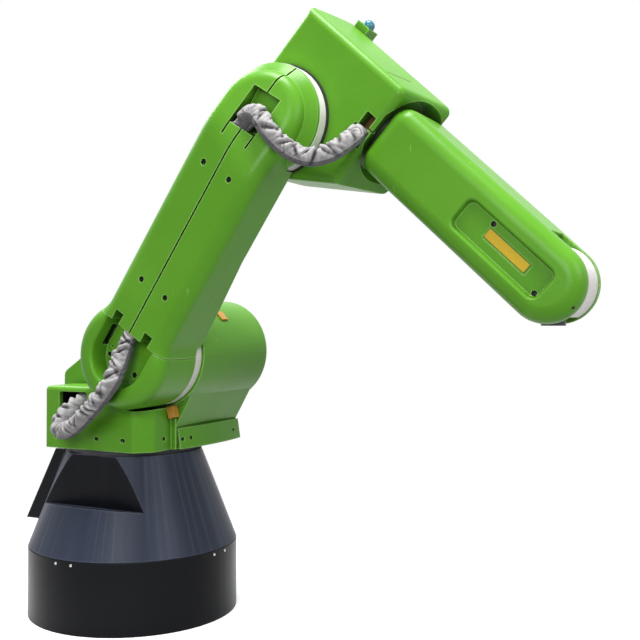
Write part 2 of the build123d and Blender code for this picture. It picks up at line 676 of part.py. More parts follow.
def make_lamp_lens():
    seat = ELBOW + FORE_U * ((LAMP_LOW_U + LAMP_HIGH_U) / 2) + FORE_V * LAMP_TOP_V
    seat = seat + Vector(0, ELBOW_HALF + LAMP_WIDTH / 2, 0)
    plane = Plane(origin=seat, x_dir=FORE_U, z_dir=FORE_V)
    rim = extrude(plane * Circle(LENS_R), amount=LENS_RIM)
    dome = plane.offset(LENS_RIM) * Sphere(LENS_R, arc_size1=0, align=(Align.CENTER, Align.CENTER, Align.MIN))
    return rim + dome


# Forearm
def fore_outline(start_u):
    """Side outline of the forearm from a start to the rounded wrist end, about its own axis line."""
    middle = (start_u + FORE_LENGTH) / 2
    box = Pos(middle, ELBOW_RISE) * Rectangle(FORE_LENGTH - start_u, 2 * FORE_HALF_HEIGHT)
    return box + Pos(FORE_LENGTH, ELBOW_RISE) * Circle(FORE_HALF_HEIGHT)


def make_forearm_neck():
    plane = Plane(origin=ELBOW + FORE_V * ELBOW_RISE, x_dir=NEAR, z_dir=FORE_U)
    length = FORE_START_U - RECESS_U - JOINT_GAP
    return extrude(plane.offset(RECESS_U + JOINT_GAP) * Circle(NECK_R), amount=length)


def cheek_profile():
    """Side outline of a forearm cheek, with rounded corners at the elbow end."""
    profile = fore_outline(FORE_START_U)
    rear = [v for v in profile.vertices() if abs(v.X - FORE_START_U) < JOINT_GAP]
    return fillet(rear, FORE_CORNER_R)


def box_sketch(start_u, end_u, low_v, high_v, corner_r):
    """Rounded rectangle between two lengths along the forearm and two heights."""
    middle = Pos((start_u + end_u) / 2, (low_v + high_v) / 2)
    return middle * RectangleRounded(end_u - start_u, high_v - low_v, corner_r)


def make_near_cheek():
    cheek = slab(ELBOW_PLANE, cheek_profile(), -CHEEK_INNER, FORE_NEAR_Y)
    cheek = fillet(near_edges(cheek), FORE_EDGE_R)
    panel = box_sketch(PANEL_START_U, PANEL_END_U, PANEL_LOW_V, PANEL_HIGH_V, PANEL_CORNER_R)
    cheek -= extrude(ELBOW_PLANE.offset(-FORE_NEAR_Y) * panel, amount=-PANEL_DEPTH, taper=PANEL_DRAFT)
    cheek = fillet(cheek.faces().sort_by(Axis.Y)[0].inner_wires()[0].edges(), PANEL_LIP_R)
    label = box_sketch(LABEL_START_U, LABEL_END_U, LABEL_LOW_V, LABEL_HIGH_V, LABEL_DEPTH)
    floor_y = FORE_NEAR_Y + PANEL_DEPTH
    high_screw = Pos(LABEL_START_U, PANEL_HIGH_V - PANEL_SCREW_EDGE)
    low_screw = Pos(PANEL_END_U - PANEL_SCREW_EDGE, PANEL_LOW_V + PANEL_SCREW_EDGE)
    for place in (high_screw, low_screw):
        cheek -= slab(ELBOW_PLANE, place * Circle(PANEL_SCREW_R), floor_y + SCREW_DEPTH, FORE_NEAR_Y)
    return cheek - slab(ELBOW_PLANE, label, floor_y + LABEL_DEPTH, FORE_NEAR_Y)


def make_forearm_body():
    middle = Pos((FORE_START_U + WEB_END_U) / 2, ELBOW_RISE)
    profile = middle * Rectangle(WEB_END_U - FORE_START_U, 2 * FORE_HALF_HEIGHT)
    rear = [v for v in profile.vertices() if abs(v.X - FORE_START_U) < JOINT_GAP]
    profile = fillet(rear, FORE_CORNER_R)
    flange_reach = sqrt(FLANGE_FACE**2 + FLANGE_R**2)
    profile -= Pos(FORE_LENGTH, ELBOW_RISE) * Circle(flange_reach + SWEEP_GAP)
    return slab(ELBOW_PLANE, profile, CHEEK_INNER, -CHEEK_INNER)


def make_far_cheek():
    far_y = FORE_FAR_Y + FORE_FAR_BULGE
    cheek = slab(ELBOW_PLANE, cheek_profile(), far_y, CHEEK_INNER)
    cheek = fillet(far_edges(cheek), FORE_FAR_EDGE_R)
    taper_u = FORE_LENGTH - FORE_TAPER_LENGTH
    end = FORE_LENGTH + 2 * FORE_HALF_HEIGHT
    fall = FORE_FAR_BULGE * (end - taper_u) / FORE_TAPER_LENGTH
    taper = Polyline((taper_u, far_y), (end, far_y), (end, far_y - fall), close=True)
    plane = Plane(origin=ELBOW, x_dir=FORE_U, z_dir=FORE_U.cross(Vector(0, 1, 0)))
    cheek -= extrude(plane * make_face(taper), amount=FAR_AWAY, both=True)
    return cheek - turned_zone(FORE_START_U, SWEEP_GAP, inside=False)


# Wrist and flange
def make_wrist_barrel():
    half = CHEEK_INNER - JOINT_GAP
    barrel = disc(WRIST_PLANE, BARREL_R, half, -half)
    flat = Pos(0, -BARREL_FLAT - FAR_AWAY / 2) * Rectangle(FAR_AWAY, FAR_AWAY)
    return barrel - slab(WRIST_PLANE, flat, FAR_AWAY, -FAR_AWAY)


def make_tool_flange():
    plane = Plane(origin=WRIST, x_dir=(1, 0, 0), z_dir=(0, 0, -1))
    low = BARREL_FLAT + JOINT_GAP
    flange = extrude(plane.offset(low) * Circle(FLANGE_R), amount=FLANGE_FACE - low)
    flange -= extrude(plane.offset(FLANGE_FACE - PILOT_DEPTH) * Circle(PILOT_R), amount=2 * PILOT_DEPTH)
    holes = Sketch() + PolarLocations(TOOL_PCD / 2, TOOL_BOLTS) * Circle(TOOL_HOLE_R)
    return flange - extrude(plane.offset(FLANGE_FACE - TOOL_HOLE_DEPTH) * holes, amount=TOOL_HOLE_DEPTH + 1)


# Cable sleeves
def make_sleeve(points):
    """Round tube along straight runs joined by arcs as large as the runs allow."""
    points = [Vector(*p) for p in points]
    radii = []
    for before, here, after in zip(points, points[1:], points[2:]):
        turn = radians((here - before).get_angle(after - here))
        run = min((here - before).length, (after - here).length)
        radii.append(ARC_SHARE * run / tan(turn / 2))
    print("sleeve radii", [round(r) for r in radii])
    path = FilletPolyline(*points, radius=radii)
    start = Plane(origin=path @ 0, z_dir=path % 0)
    tube = sweep(start * Circle(SLEEVE_R), path=path)
    print("sleeve length", round(path.length))
    return tube


def arm_point(u, v, y):
    p = SHOULDER + ARM_U * u + ARM_V * v
    return (p.X, y, p.Z)


def head_point(u, v, y):
    return arm_point(UPPER_LENGTH + u, v, y)


def elbow_point(u, v, y):
    p = ELBOW + FORE_U * u + FORE_V * v
    return (p.X, y, p.Z)


def shoulder_point(x, y, z):
    return (SHOULDER_X + x, y, SHOULDER_Z + z)


def make_shoulder_sleeve():
    """Sleeve that leaves the box, folds under its own weight and climbs into the lower arm cover."""
    end_u = LOWER_PARTING_U + COVER_GAP
    return make_sleeve(
        [
            shoulder_point(-232, -128, -144),
            shoulder_point(-232, -192, -144),
            shoulder_point(-240, -226, -168),
            shoulder_point(-232, -247, -203),
            shoulder_point(-200, -264, -226),
            shoulder_point(-160, -277, -221),
            shoulder_point(-126, -288, -195),
            shoulder_point(-46, -303, -138),
            arm_point(-62, 47, -301),
            arm_point(-24, 32, -285),
            arm_point(12, 12, -265),
            arm_point(end_u - 31, -4, -252),
            arm_point(end_u, -4, -252),
        ]
    )


def make_elbow_sleeve():
    """Sleeve that leaves the tray, sags across the elbow joint and enters the cable port."""
    end_y = -ELBOW_HALF + PORT_DEPTH - PORT_LINING
    return make_sleeve(
        [
            head_point(TRAY_LOW_U - SLEEVE_SINK, TRAY_SLEEVE_V, TRAY_SLEEVE_Y),
            head_point(-48, TRAY_SLEEVE_V, TRAY_SLEEVE_Y),
            head_point(-23, -9, -238),
            head_point(-3, 10, -254),
            head_point(3, 42, -272),
            head_point(-8, 72, -282),
            head_point(-19, 100, -280),
            head_point(-30, 142, -265),
            head_point(-31, 184, -250),
            elbow_point(218, 18, -232),
            elbow_point(238, 50, -212),
            elbow_point(244, 90, -190),
            elbow_point(238, 116, -160),
            elbow_point(220, 120, -128),
            elbow_point(PORT_U, PORT_V, -104),
            elbow_point(PORT_U, PORT_V, end_y),
        ]
    )


front, rear, lower = make_arm_pieces()
pieces = {
    "base_plate": make_base_plate(),
    "base_drum": make_base_drum(),
    "cone_skirt": make_cone_skirt(),
    "rear_hood": make_rear_hood(),
    "slew_ring": make_slew_ring(),
    "shoulder_housing": make_shoulder_housing(),
    "cable_box_cover": make_cable_box_cover(),
    "front_apron": make_front_apron(),
    "shoulder_ring": make_shoulder_ring(),
    "stop_block_upper": make_upper_stop(),
    "stop_block_lower": stop_block(LOWER_STOP_ANGLE, 0),
    "arm_cover_front": front,
    "arm_cover_rear": rear,
    "arm_lower_cover": lower,
    "cable_tray": make_cable_tray(),
    "elbow_ring": make_elbow_ring(),
    "elbow_housing": make_elbow_housing(),
    "elbow_bearing": make_elbow_bearing(),
    "cable_port": make_cable_port(),
    "lamp_box": make_lamp_box(),
    "lamp_lens": make_lamp_lens(),
    "forearm_neck": make_forearm_neck(),
    "forearm_body": make_forearm_body(),
    "forearm_near_cheek": make_near_cheek(),
    "forearm_far_cheek": make_far_cheek(),
    "wrist_barrel": make_wrist_barrel(),
    "tool_flange": make_tool_flange(),
    "shoulder_sleeve": make_shoulder_sleeve(),
    "elbow_sleeve": make_elbow_sleeve(),
}
os.makedirs("parts", exist_ok=True)
for name, shape in pieces.items():
    export_step(shape, f"parts/{name}.step")
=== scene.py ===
import json
import logging
import math
import random
from dataclasses import dataclass
from enum import Enum
from typing import Iterable, Sequence

import bmesh
import bpy
from mathutils import Matrix, Vector, noise


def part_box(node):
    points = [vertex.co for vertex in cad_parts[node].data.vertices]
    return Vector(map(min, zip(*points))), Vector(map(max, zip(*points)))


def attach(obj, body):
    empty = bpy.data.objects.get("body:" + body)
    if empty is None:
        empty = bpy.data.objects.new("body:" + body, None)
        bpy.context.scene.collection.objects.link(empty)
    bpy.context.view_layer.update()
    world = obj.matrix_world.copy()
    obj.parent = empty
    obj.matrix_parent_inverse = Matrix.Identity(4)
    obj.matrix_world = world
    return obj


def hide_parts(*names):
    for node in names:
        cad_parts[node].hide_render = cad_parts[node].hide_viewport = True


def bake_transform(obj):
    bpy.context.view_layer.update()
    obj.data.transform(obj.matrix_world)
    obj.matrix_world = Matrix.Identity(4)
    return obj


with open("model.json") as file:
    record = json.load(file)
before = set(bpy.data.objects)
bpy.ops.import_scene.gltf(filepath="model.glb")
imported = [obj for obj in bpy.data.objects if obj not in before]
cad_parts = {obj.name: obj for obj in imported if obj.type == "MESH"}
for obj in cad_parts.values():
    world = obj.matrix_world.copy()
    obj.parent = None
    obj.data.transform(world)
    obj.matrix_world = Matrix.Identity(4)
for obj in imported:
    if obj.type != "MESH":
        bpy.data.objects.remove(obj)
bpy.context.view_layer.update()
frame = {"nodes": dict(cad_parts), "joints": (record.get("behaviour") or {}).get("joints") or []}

log = logging.getLogger("robot_arm")
Socket = bpy.types.NodeSocket
Colour = tuple[float, float, float]
Place = tuple[float, float, float]
Ring = list[Vector]
Band = list[bmesh.types.BMFace]
Seat = tuple[Vector, Sequence[float]]
Span = tuple[float, float]
RELIEF = "relief"
SMOOTH_ANGLE = math.radians(38.0)
BLACK = (0.0, 0.0, 0.0)


class Body(Enum):
    """Bodies of the arm that carry the added pieces."""

    BASE = "base"
    TURNTABLE = "turntable"
    UPPER_ARM = "upper_arm"
    ELBOW = "elbow"
    FOREARM = "forearm"


class Slot(Enum):
    """Material slots of the record, passed along with the added pieces."""

    DARK = "dark_metal"
    PALE = "white_ring"
    AMBER = "amber_stop"
    CLOTH = "grey_sleeve"


class Facing(Enum):
    """Outward directions of the faces that carry screws and plates."""

    NEAR = (0.0, -1.0, 0.0)
    AHEAD = (1.0, 0.0, 0.0)


class Chain:
    """Axes of the arm at rest, read from the frame's joints."""

    def __init__(self) -> None:
        """Read the joints' places and work out the directions of the two limbs."""
        place = {joint["name"]: Vector(joint["pos_m"]) for joint in frame["joints"]}
        self.shoulder = place["shoulder"]
        self.elbow = place["elbow_bend"]
        self.arm_u = (self.elbow - self.shoulder).normalized()
        self.arm_v = Vector((self.arm_u.z, 0.0, -self.arm_u.x))
        self.fore_u = (place["wrist_bend"] - place["forearm_roll"]).normalized()
        self.fore_v = (place["forearm_roll"] - self.elbow).normalized()

    def shoulder_point(self, x: float, y: float, z: float) -> Vector:
        """Point given from the shoulder axis, in the frame's own directions."""
        return Vector((self.shoulder.x + x, y, self.shoulder.z + z))

    def arm_point(self, u: float, v: float, y: float) -> Vector:
        """Point given along and across the upper arm from the shoulder."""
        return self.shoulder + self.arm_u * u + self.arm_v * v + Vector((0.0, y, 0.0))

    def head_point(self, u: float, v: float, y: float) -> Vector:
        """Point given along and across the upper arm from the elbow."""
        return self.elbow + self.arm_u * u + self.arm_v * v + Vector((0.0, y, 0.0))

    def elbow_point(self, u: float, v: float, y: float) -> Vector:
        """Point given along and above the forearm's line from the elbow."""
        return self.elbow + self.fore_u * u + self.fore_v * v + Vector((0.0, y, 0.0))


CHAIN = Chain()


# Finishes
class NodeBench:
    """Adds and links the shader nodes of one material."""

    # Blender's wave texture turns by this many radians for each unit of length
    WAVE_TURN = 20.0
    THREAD_WANDER = 0.6
    SAMPLES = 4
    EDGE_RANGE = (0.75, 0.985)
    CORNER_RANGE = (0.15, 0.85)
    LEAN_RANGE = (0.05, 0.2)

    def __init__(self, name: str) -> None:
        """Make an empty material with its output and shader.

        Args:
            name: Name of the material.
        """
        self.material = bpy.data.materials.new(name)
        self.material.use_nodes = True
        self.tree = self.material.node_tree
        self.shader = self.tree.nodes["Principled BSDF"]
        self.coords = self.add("ShaderNodeTexCoord")

    def add(self, kind: str, **values: object) -> bpy.types.Node:
        """Add a node and set its named attributes.

        Args:
            kind: Blender's node type.
            values: Attributes to set on the node.

        Returns:
            The new node.
        """
        node = self.tree.nodes.new(kind)
        for key, value in values.items():
            setattr(node, key, value)
        return node

    def link(self, source: Socket, target: Socket) -> None:
        """Join two sockets."""
        self.tree.links.new(source, target)

    def noise(self, scale: float, detail: float = 4.0, stretch: Sequence[float] = (1, 1, 1),
              place: Socket | None = None) -> Socket:
        """Noise over the object's own metres, or over another place.

        Args:
            scale: Features per metre.
            detail: Octaves of the noise.
            stretch: Scale of each axis before the noise.
            place: Coordinates to use instead of the object's own.

        Returns:
            The noise value's socket.
        """
        mapping = self.add("ShaderNodeMapping")
        mapping.inputs["Scale"].default_value = stretch
        self.link(place or self.coords.outputs["Object"], mapping.inputs["Vector"])
        texture = self.add("ShaderNodeTexNoise")
        texture.inputs["Scale"].default_value = scale
        texture.inputs["Detail"].default_value = detail
        self.link(mapping.outputs["Vector"], texture.inputs["Vector"])
        return texture.outputs["Fac"]

    def ramp(self, value: Socket, stops: Sequence[tuple[float, Colour]]) -> Socket:
        """Colour ramp over a value.

        Args:
            value: Socket that drives the ramp.
            stops: Pairs of position and colour.

        Returns:
            The ramp's colour socket.
        """
        node = self.add("ShaderNodeValToRGB")
        elements = node.color_ramp.elements
        while len(elements) < len(stops):
            elements.new(0.5)
        for element, (position, colour) in zip(elements, stops):
            element.position = position
            element.color = (*colour, 1.0)
        self.link(value, node.inputs["Fac"])
        return node.outputs["Color"]

    def spread(self, value: Socket, low: float, high: float, start: float = 0.0,
               end: float = 1.0) -> Socket:
        """Map a value from one range onto another.

        Args:
            value: Socket to map.
            low: Result at the start.
            high: Result at the end.
            start: Value that gives the low result.
            end: Value that gives the high result.

        Returns:
            The mapped value's socket.
        """
        node = self.add("ShaderNodeMapRange")
        node.inputs["From Min"].default_value = start
        node.inputs["From Max"].default_value = end
        node.inputs["To Min"].default_value = low
        node.inputs["To Max"].default_value = high
        self.link(value, node.inputs["Value"])
        return node.outputs["Result"]

    def combine(self, operation: str, first: Socket, second: Socket) -> Socket:
        """Combine two values.

        Args:
            operation: Blender's name of the arithmetic.
            first: First value.
            second: Second value.

        Returns:
            The result's socket.
        """
        node = self.add("ShaderNodeMath", operation=operation)
        self.link(first, node.inputs[0])
        self.link(second, node.inputs[1])
        return node.outputs[0]

    def mix(self, share: Socket, first: Socket | Colour, second: Socket | Colour) -> Socket:
        """Mix two colours by a share.

        Args:
            share: Socket with the second colour's share.
            first: Colour or its socket.
            second: Colour or its socket.

        Returns:
            The mixed colour's socket.
        """
        node = self.add("ShaderNodeMix", data_type="RGBA")
        self.link(share, node.inputs["Factor"])
        for name, colour in (("A", first), ("B", second)):
            socket = [s for s in node.inputs if s.name == name and s.type == "RGBA"][0]
            if isinstance(colour, tuple):
                socket.default_value = (*colour, 1.0)
            else:
                self.link(colour, socket)
        return [s for s in node.outputs if s.type == "RGBA"][0]

    def edges(self, radius: float, strength: float) -> Socket:
        """Mask along sharp edges.

        Args:
            radius: How far the mask reaches from an edge, in metres.
            strength: Value on the edge itself.

        Returns:
            The mask's socket.
        """
        bevel = self.add("ShaderNodeBevel", samples=self.SAMPLES)
        bevel.inputs["Radius"].default_value = radius
        surface = self.add("ShaderNodeNewGeometry")
        dot = self.add("ShaderNodeVectorMath", operation="DOT_PRODUCT")
        self.link(bevel.outputs["Normal"], dot.inputs[0])
        self.link(surface.outputs["Normal"], dot.inputs[1])
        return self.spread(dot.outputs["Value"], strength, 0.0, *self.EDGE_RANGE)

    def corner_shade(self, reach: float, strength: float) -> Socket:
        """Mask in corners and gaps, for painted shade.

        Args:
            reach: How far a neighbour counts, in metres.
            strength: Value in a closed corner.

        Returns:
            The mask's socket.
        """
        node = self.add("ShaderNodeAmbientOcclusion", samples=self.SAMPLES)
        node.inputs["Distance"].default_value = reach
        return self.spread(node.outputs["AO"], strength, 0.0, *self.CORNER_RANGE)

    def upright(self) -> Socket:
        """Mask on faces that stand upright.

        Returns:
            The mask's socket.
        """
        surface = self.add("ShaderNodeNewGeometry")
        split = self.add("ShaderNodeSeparateXYZ")
        self.link(surface.outputs["True Normal"], split.inputs["Vector"])
        lean = self.add("ShaderNodeMath", operation="ABSOLUTE")
        self.link(split.outputs["Z"], lean.inputs[0])
        return self.spread(lean.outputs[0], 1.0, 0.0, *self.LEAN_RANGE)

    def around(self, turns: float, rise: float) -> Socket:
        """Coordinates that run round the vertical axis and up it.

        Args:
            turns: Length of the first coordinate over one full turn.
            rise: Scale of the height.

        Returns:
            The vector's socket.
        """
        angle = self.add("ShaderNodeTexGradient", gradient_type="RADIAL")
        self.link(self.coords.outputs["Object"], angle.inputs["Vector"])
        split = self.add("ShaderNodeSeparateXYZ")
        self.link(self.coords.outputs["Object"], split.inputs["Vector"])
        join = self.add("ShaderNodeCombineXYZ")
        self.link(self.spread(angle.outputs["Fac"], 0.0, turns), join.inputs["X"])
        self.link(self.spread(split.outputs["Z"], 0.0, rise), join.inputs["Z"])
        return join.outputs["Vector"]

    def weave(self, pitch: float) -> Socket:
        """Height of a plain weave over the cloth's own metres.

        Args:
            pitch: Distance between two threads in metres.

        Returns:
            The height's socket.
        """
        bands = []
        for direction in ("X", "Y"):
            wave = self.add("ShaderNodeTexWave", bands_direction=direction)
            wave.inputs["Scale"].default_value = 2 * math.pi / (self.WAVE_TURN * pitch)
            wave.inputs["Distortion"].default_value = self.THREAD_WANDER
            self.link(self.coords.outputs["UV"], wave.inputs["Vector"])
            bands.append(wave.outputs["Fac"])
        return self.combine("MULTIPLY", bands[0], bands[1])

    def bump(self, heights: Iterable[tuple[Socket, float]], arris: float = 0.0) -> None:
        """Stack bump layers on the shader's normal.

        Args:
            heights: Pairs of height socket and distance in metres.
            arris: Radius that rounds the sharp edges' shading, in metres.
        """
        normal = None
        if arris:
            bevel = self.add("ShaderNodeBevel", samples=self.SAMPLES)
            bevel.inputs["Radius"].default_value = arris
            normal = bevel.outputs["Normal"]
        for height, distance in heights:
            node = self.add("ShaderNodeBump")
            node.inputs["Distance"].default_value = distance
            self.link(height, node.inputs["Height"])
            if normal is not None:
                self.link(normal, node.inputs["Normal"])
            normal = node.outputs["Normal"]
        self.link(normal, self.shader.inputs["Normal"])

    def paint(self, colour: Socket, roughness: Socket) -> None:
        """Link the colour and the roughness to the shader."""
        self.link(colour, self.shader.inputs["Base Color"])
        self.link(roughness, self.shader.inputs["Roughness"])


@dataclass(frozen=True)
class Finish:
    """A surface with its colours, its gloss and its fine grain.

    Attributes:
        name: Name of the material.
        colour: Main colour.
        shade: Second, darker colour.
        rough: Least and greatest roughness.
        specular: Strength of the plain reflection.
        sheen: Strength of the sheen.
        metallic: Share of bare metal.
        clouds: Clouds of the two colours per metre.
        octaves: Finer steps within the clouds.
        cloud_span: Noise values where a cloud starts and ends.
        spots: Spots of other gloss per metre.
        grain: Fine grains per metre.
        grain_octaves: Finer steps within the grain.
        grain_height: Height of the grain in metres.
        arris: Radius that rounds the sharp edges' shading, in metres.
    """

    name: str
    colour: Colour
    shade: Colour
    rough: Span
    specular: float = 0.4
    sheen: float = 0.0
    metallic: float = 0.0
    clouds: float = 9.0
    octaves: float = 6.0
    cloud_span: Span = (0.3, 0.65)
    spots: float = 40.0
    grain: float = 900.0
    grain_octaves: float = 2.0
    grain_height: float = 0.0001
    arris: float = 0.0015

    def material(self) -> bpy.types.Material:
        """Build the finish, or hand back the one built before.

        Returns:
            The material.
        """
        if self.name in bpy.data.materials:
            return bpy.data.materials[self.name]
        bench = NodeBench(self.name)
        self.build(bench)
        constants = {
            "Specular IOR Level": self.specular,
            "Sheen Weight": self.sheen,
            "Metallic": self.metallic,
        }
        for name, value in constants.items():
            bench.shader.inputs[name].default_value = value
        return bench.material

    def build(self, bench: NodeBench) -> None:
        """Mottle the colour and the gloss, and give the surface a fine grain.

        Args:
            bench: Bench of the new material.
        """
        tone = self.clouded(bench, bench.noise(self.clouds, self.octaves))
        bench.paint(tone, self.gloss(bench))
        bench.bump([self.fine_grain(bench)], self.arris)

    def clouded(self, bench: NodeBench, cloud: Socket) -> Socket:
        """Spread the two colours over a cloud."""
        return bench.ramp(cloud, list(zip(self.cloud_span, (self.shade, self.colour))))

    def gloss(self, bench: NodeBench) -> Socket:
        """Roughness that changes in spots."""
        return bench.spread(bench.noise(self.spots), *self.rough)

    def fine_grain(self, bench: NodeBench) -> tuple[Socket, float]:
        """Bump layer of the fine grain."""
        return bench.noise(self.grain, self.grain_octaves), self.grain_height


@dataclass(frozen=True)
class CoverPaint(Finish):
    """Soft satin cover: faint clouds, painted shade in the corners, painted highlights on the arrises and a
    few scuffs.
    """

    clouds: float = 3.2
    octaves: float = 5.0
    cloud_span: Span = (0.34, 0.66)
    spots: float = 38.0
    grain: float = 800.0
    grain_height: float = 0.00008
    arris: float = 0.003
    # painted shade in the corners and gaps
    painted_shade: Colour = (0.012, 0.035, 0.004)
    painted_shade_reach: float = 0.035
    painted_shade_share: float = 0.95
    # painted highlight along the arrises, in a colour that also marks the scuffs
    edge_highlight_and_scuff: Colour = (0.42, 0.78, 0.22)
    edge_highlight_reach: float = 0.007
    edge_highlight_share: float = 0.85
    scuffs: float = 46.0
    scuff_stretch: tuple[float, float, float] = (1.0, 0.5, 0.06)
    scuff_at: float = 0.7
    scuff_half: float = 0.01
    scuff_tone: Colour = (0.5, 0.5, 0.5)
    scuff_patches: float = 2.2
    scuff_patch_span: Span = (0.52, 0.6)
    waves: float = 4.5
    wave_height: float = 0.004
    peel: float = 120.0
    peel_height: float = 0.0002

    def build(self, bench: NodeBench) -> None:
        """Layer the clouds, painted corner shade, painted arris highlights and scuffs of a cover.

        Args:
            bench: Bench of the new material.
        """
        tone = self.clouded(bench, bench.noise(self.clouds, self.octaves))
        # painted shade: darker green in corners and gaps, by occlusion
        tone = bench.mix(bench.corner_shade(self.painted_shade_reach, self.painted_shade_share), tone, self.painted_shade)
        # painted highlight: lighter green along the sharp edges
        tone = bench.mix(bench.edges(self.edge_highlight_reach, self.edge_highlight_share), tone, self.edge_highlight_and_scuff)
        stops = [
            (self.scuff_at - self.scuff_half, BLACK),
            (self.scuff_at, self.scuff_tone),
            (self.scuff_at + self.scuff_half, BLACK),
        ]
        line = bench.ramp(bench.noise(self.scuffs, 2.0, self.scuff_stretch), stops)
        patch = bench.spread(bench.noise(self.scuff_patches, 2.0), 0.0, 1.0, *self.scuff_patch_span)
        tone = bench.mix(bench.combine("MULTIPLY", line, patch), tone, self.edge_highlight_and_scuff)
        bench.paint(tone, self.gloss(bench))
        layers = [
            (bench.noise(self.waves, 1.0), self.wave_height),
            (bench.noise(self.peel, 1.0), self.peel_height),
            self.fine_grain(bench),
        ]
        bench.bump(layers, self.arris)


@dataclass(frozen=True)
class SkirtVinyl(Finish):
    """Drawn vinyl skirt: upright pulls in the sheet, faint streaks of painted reflection (scuffs on the
    drum), painted shade on upright faces (partly a darker panel) and a painted highlight on the arris.
    """

    clouds: float = 1.6
    octaves: float = 4.0
    cloud_span: Span = (0.32, 0.68)
    spots: float = 1.4
    spot_octaves: float = 5.0
    grain: float = 1500.0
    grain_height: float = 0.00006
    arris: float = 0.003
    wide: Span = (9.0, 0.35)
    narrow: Span = (60.0, 0.8)
    # painted reflection: lighter upright streaks and the lighter arris; on the drum the streaks are scuffs
    reflection_and_scuff: Colour = (0.15, 0.17, 0.22)
    streaks: float = 2.0
    streak_share: float = 0.3
    streak_span: Span = (0.55, 0.8)
    # painted shade: near black on upright faces, partly a darker panel
    panel: Colour = (0.003, 0.0035, 0.006)
    pulls: float = 1.1
    pull: float = 0.009
    # painted highlight along the arris
    edge_highlight_reach: float = 0.007
    edge_highlight_and_scuff: float = 0.7

    def build(self, bench: NodeBench) -> None:
        """Layer the painted reflection streaks, the painted shade of upright faces, the painted arris
        highlight and the pulls of the skirt.

        Args:
            bench: Bench of the new material.
        """
        wide = bench.around(*self.wide)
        narrow = bench.around(*self.narrow)
        tone = self.clouded(bench, bench.noise(self.clouds, self.octaves, place=wide))
        streaks = bench.noise(self.streaks, 3.0, place=narrow)
        streaks = bench.spread(streaks, 0.0, self.streak_share, *self.streak_span)
        # painted reflection streaks (scuffs on the drum)
        tone = bench.mix(streaks, tone, self.reflection_and_scuff)
        # painted shade on upright faces, partly a darker panel
        tone = bench.mix(bench.upright(), tone, self.panel)
        # painted highlight along the arris
        tone = bench.mix(bench.edges(self.edge_highlight_reach, self.edge_highlight_and_scuff), tone, self.reflection_and_scuff)
        spots = bench.noise(self.spots, self.spot_octaves, place=narrow)
        bench.paint(tone, bench.spread(spots, *self.rough))
        layers = [
            (bench.noise(self.pulls, 2.0, place=wide), self.pull),
            self.fine_grain(bench),
        ]
        bench.bump(layers, self.arris)


@dataclass(frozen=True)
class RingPaint(Finish):
    """Pale painted ring with painted shade towards its gaps and faint wipe marks."""

    clouds: float = 12.0
    octaves: float = 5.0
    cloud_span: Span = (0.3, 0.6)
    spots: float = 60.0
    grain: float = 700.0
    grain_height: float = 0.00008
    # painted shade towards the gaps
    painted_shade: Colour = (0.2, 0.19, 0.16)
    painted_shade_reach: float = 0.008
    painted_shade_share: float = 0.6

    def build(self, bench: NodeBench) -> None:
        """Layer the painted shade and wipe marks of a ring.

        Args:
            bench: Bench of the new material.
        """
        tone = self.clouded(bench, bench.noise(self.clouds, self.octaves))
        # painted shade: darker where neighbours are close
        tone = bench.mix(bench.corner_shade(self.painted_shade_reach, self.painted_shade_share), tone, self.painted_shade)
        bench.paint(tone, self.gloss(bench))
        bench.bump([self.fine_grain(bench)], self.arris)


@dataclass(frozen=True)
class WovenCloth(Finish):
    """Plain woven cloth with painted shade in its creases and lighter raised ridges."""

    clouds: float = 30.0
    octaves: float = 5.0
    cloud_span: Span = (0.32, 0.62)
    spots: float = 90.0
    grain: float = 160.0
    grain_octaves: float = 3.0
    grain_height: float = 0.0008
    # painted shade in the creases
    painted_shade: Colour = (0.03, 0.027, 0.03)
    painted_shade_share: float = 0.94
    painted_shade_span: Span = (-0.0038, -0.0002)
    # lighter tone on the raised ridges
    ridge_tone: Colour = (0.56, 0.55, 0.55)
    ridge_share: float = 0.75
    ridge_span: Span = (0.0003, 0.003)
    pitch: float = 0.0016
    thread_shade: float = 0.22
    thread_height: float = 0.0004

    def build(self, bench: NodeBench) -> None:
        """Layer the threads, the painted shade in the creases and the lighter raised ridges of the cloth.

        Args:
            bench: Bench of the new material.
        """
        tone = self.clouded(bench, bench.noise(self.clouds, self.octaves))
        relief = bench.add("ShaderNodeAttribute", attribute_name=RELIEF).outputs["Fac"]
        # lighter on the raised ridges
        tone = bench.mix(bench.spread(relief, 0.0, self.ridge_share, *self.ridge_span), tone, self.ridge_tone)
        # painted shade in the creases
        tone = bench.mix(bench.spread(relief, self.painted_shade_share, 0.0, *self.painted_shade_span), tone, self.painted_shade)
        thread = bench.weave(self.pitch)
        tone = bench.mix(bench.spread(thread, self.thread_shade, 0.0), tone, self.shade)
        bench.paint(tone, self.gloss(bench))
        bench.bump([self.fine_grain(bench), (thread, self.thread_height)])


@dataclass(frozen=True)
class LampGlass(Finish):
    """Tinted lamp glass, teal on one side and deep red on the other."""

    spots: float = 120.0
    grain: float = 300.0
    tint_span: Span = (0.35, 0.62)

    def build(self, bench: NodeBench) -> None:
        """Run the two tints across the lens.

        Args:
            bench: Bench of the new material.
        """
        low, high = (Vector(corner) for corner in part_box("lamp_lens"))
        split = bench.add("ShaderNodeSeparateXYZ")
        bench.link(bench.coords.outputs["Object"], split.inputs["Vector"])
        across = bench.spread(split.outputs["X"], 0.0, 1.0, low.x, high.x)
        tone = bench.ramp(across, list(zip(self.tint_span, (self.colour, self.shade))))
        bench.paint(tone, self.gloss(bench))
        bench.bump([self.fine_grain(bench)])


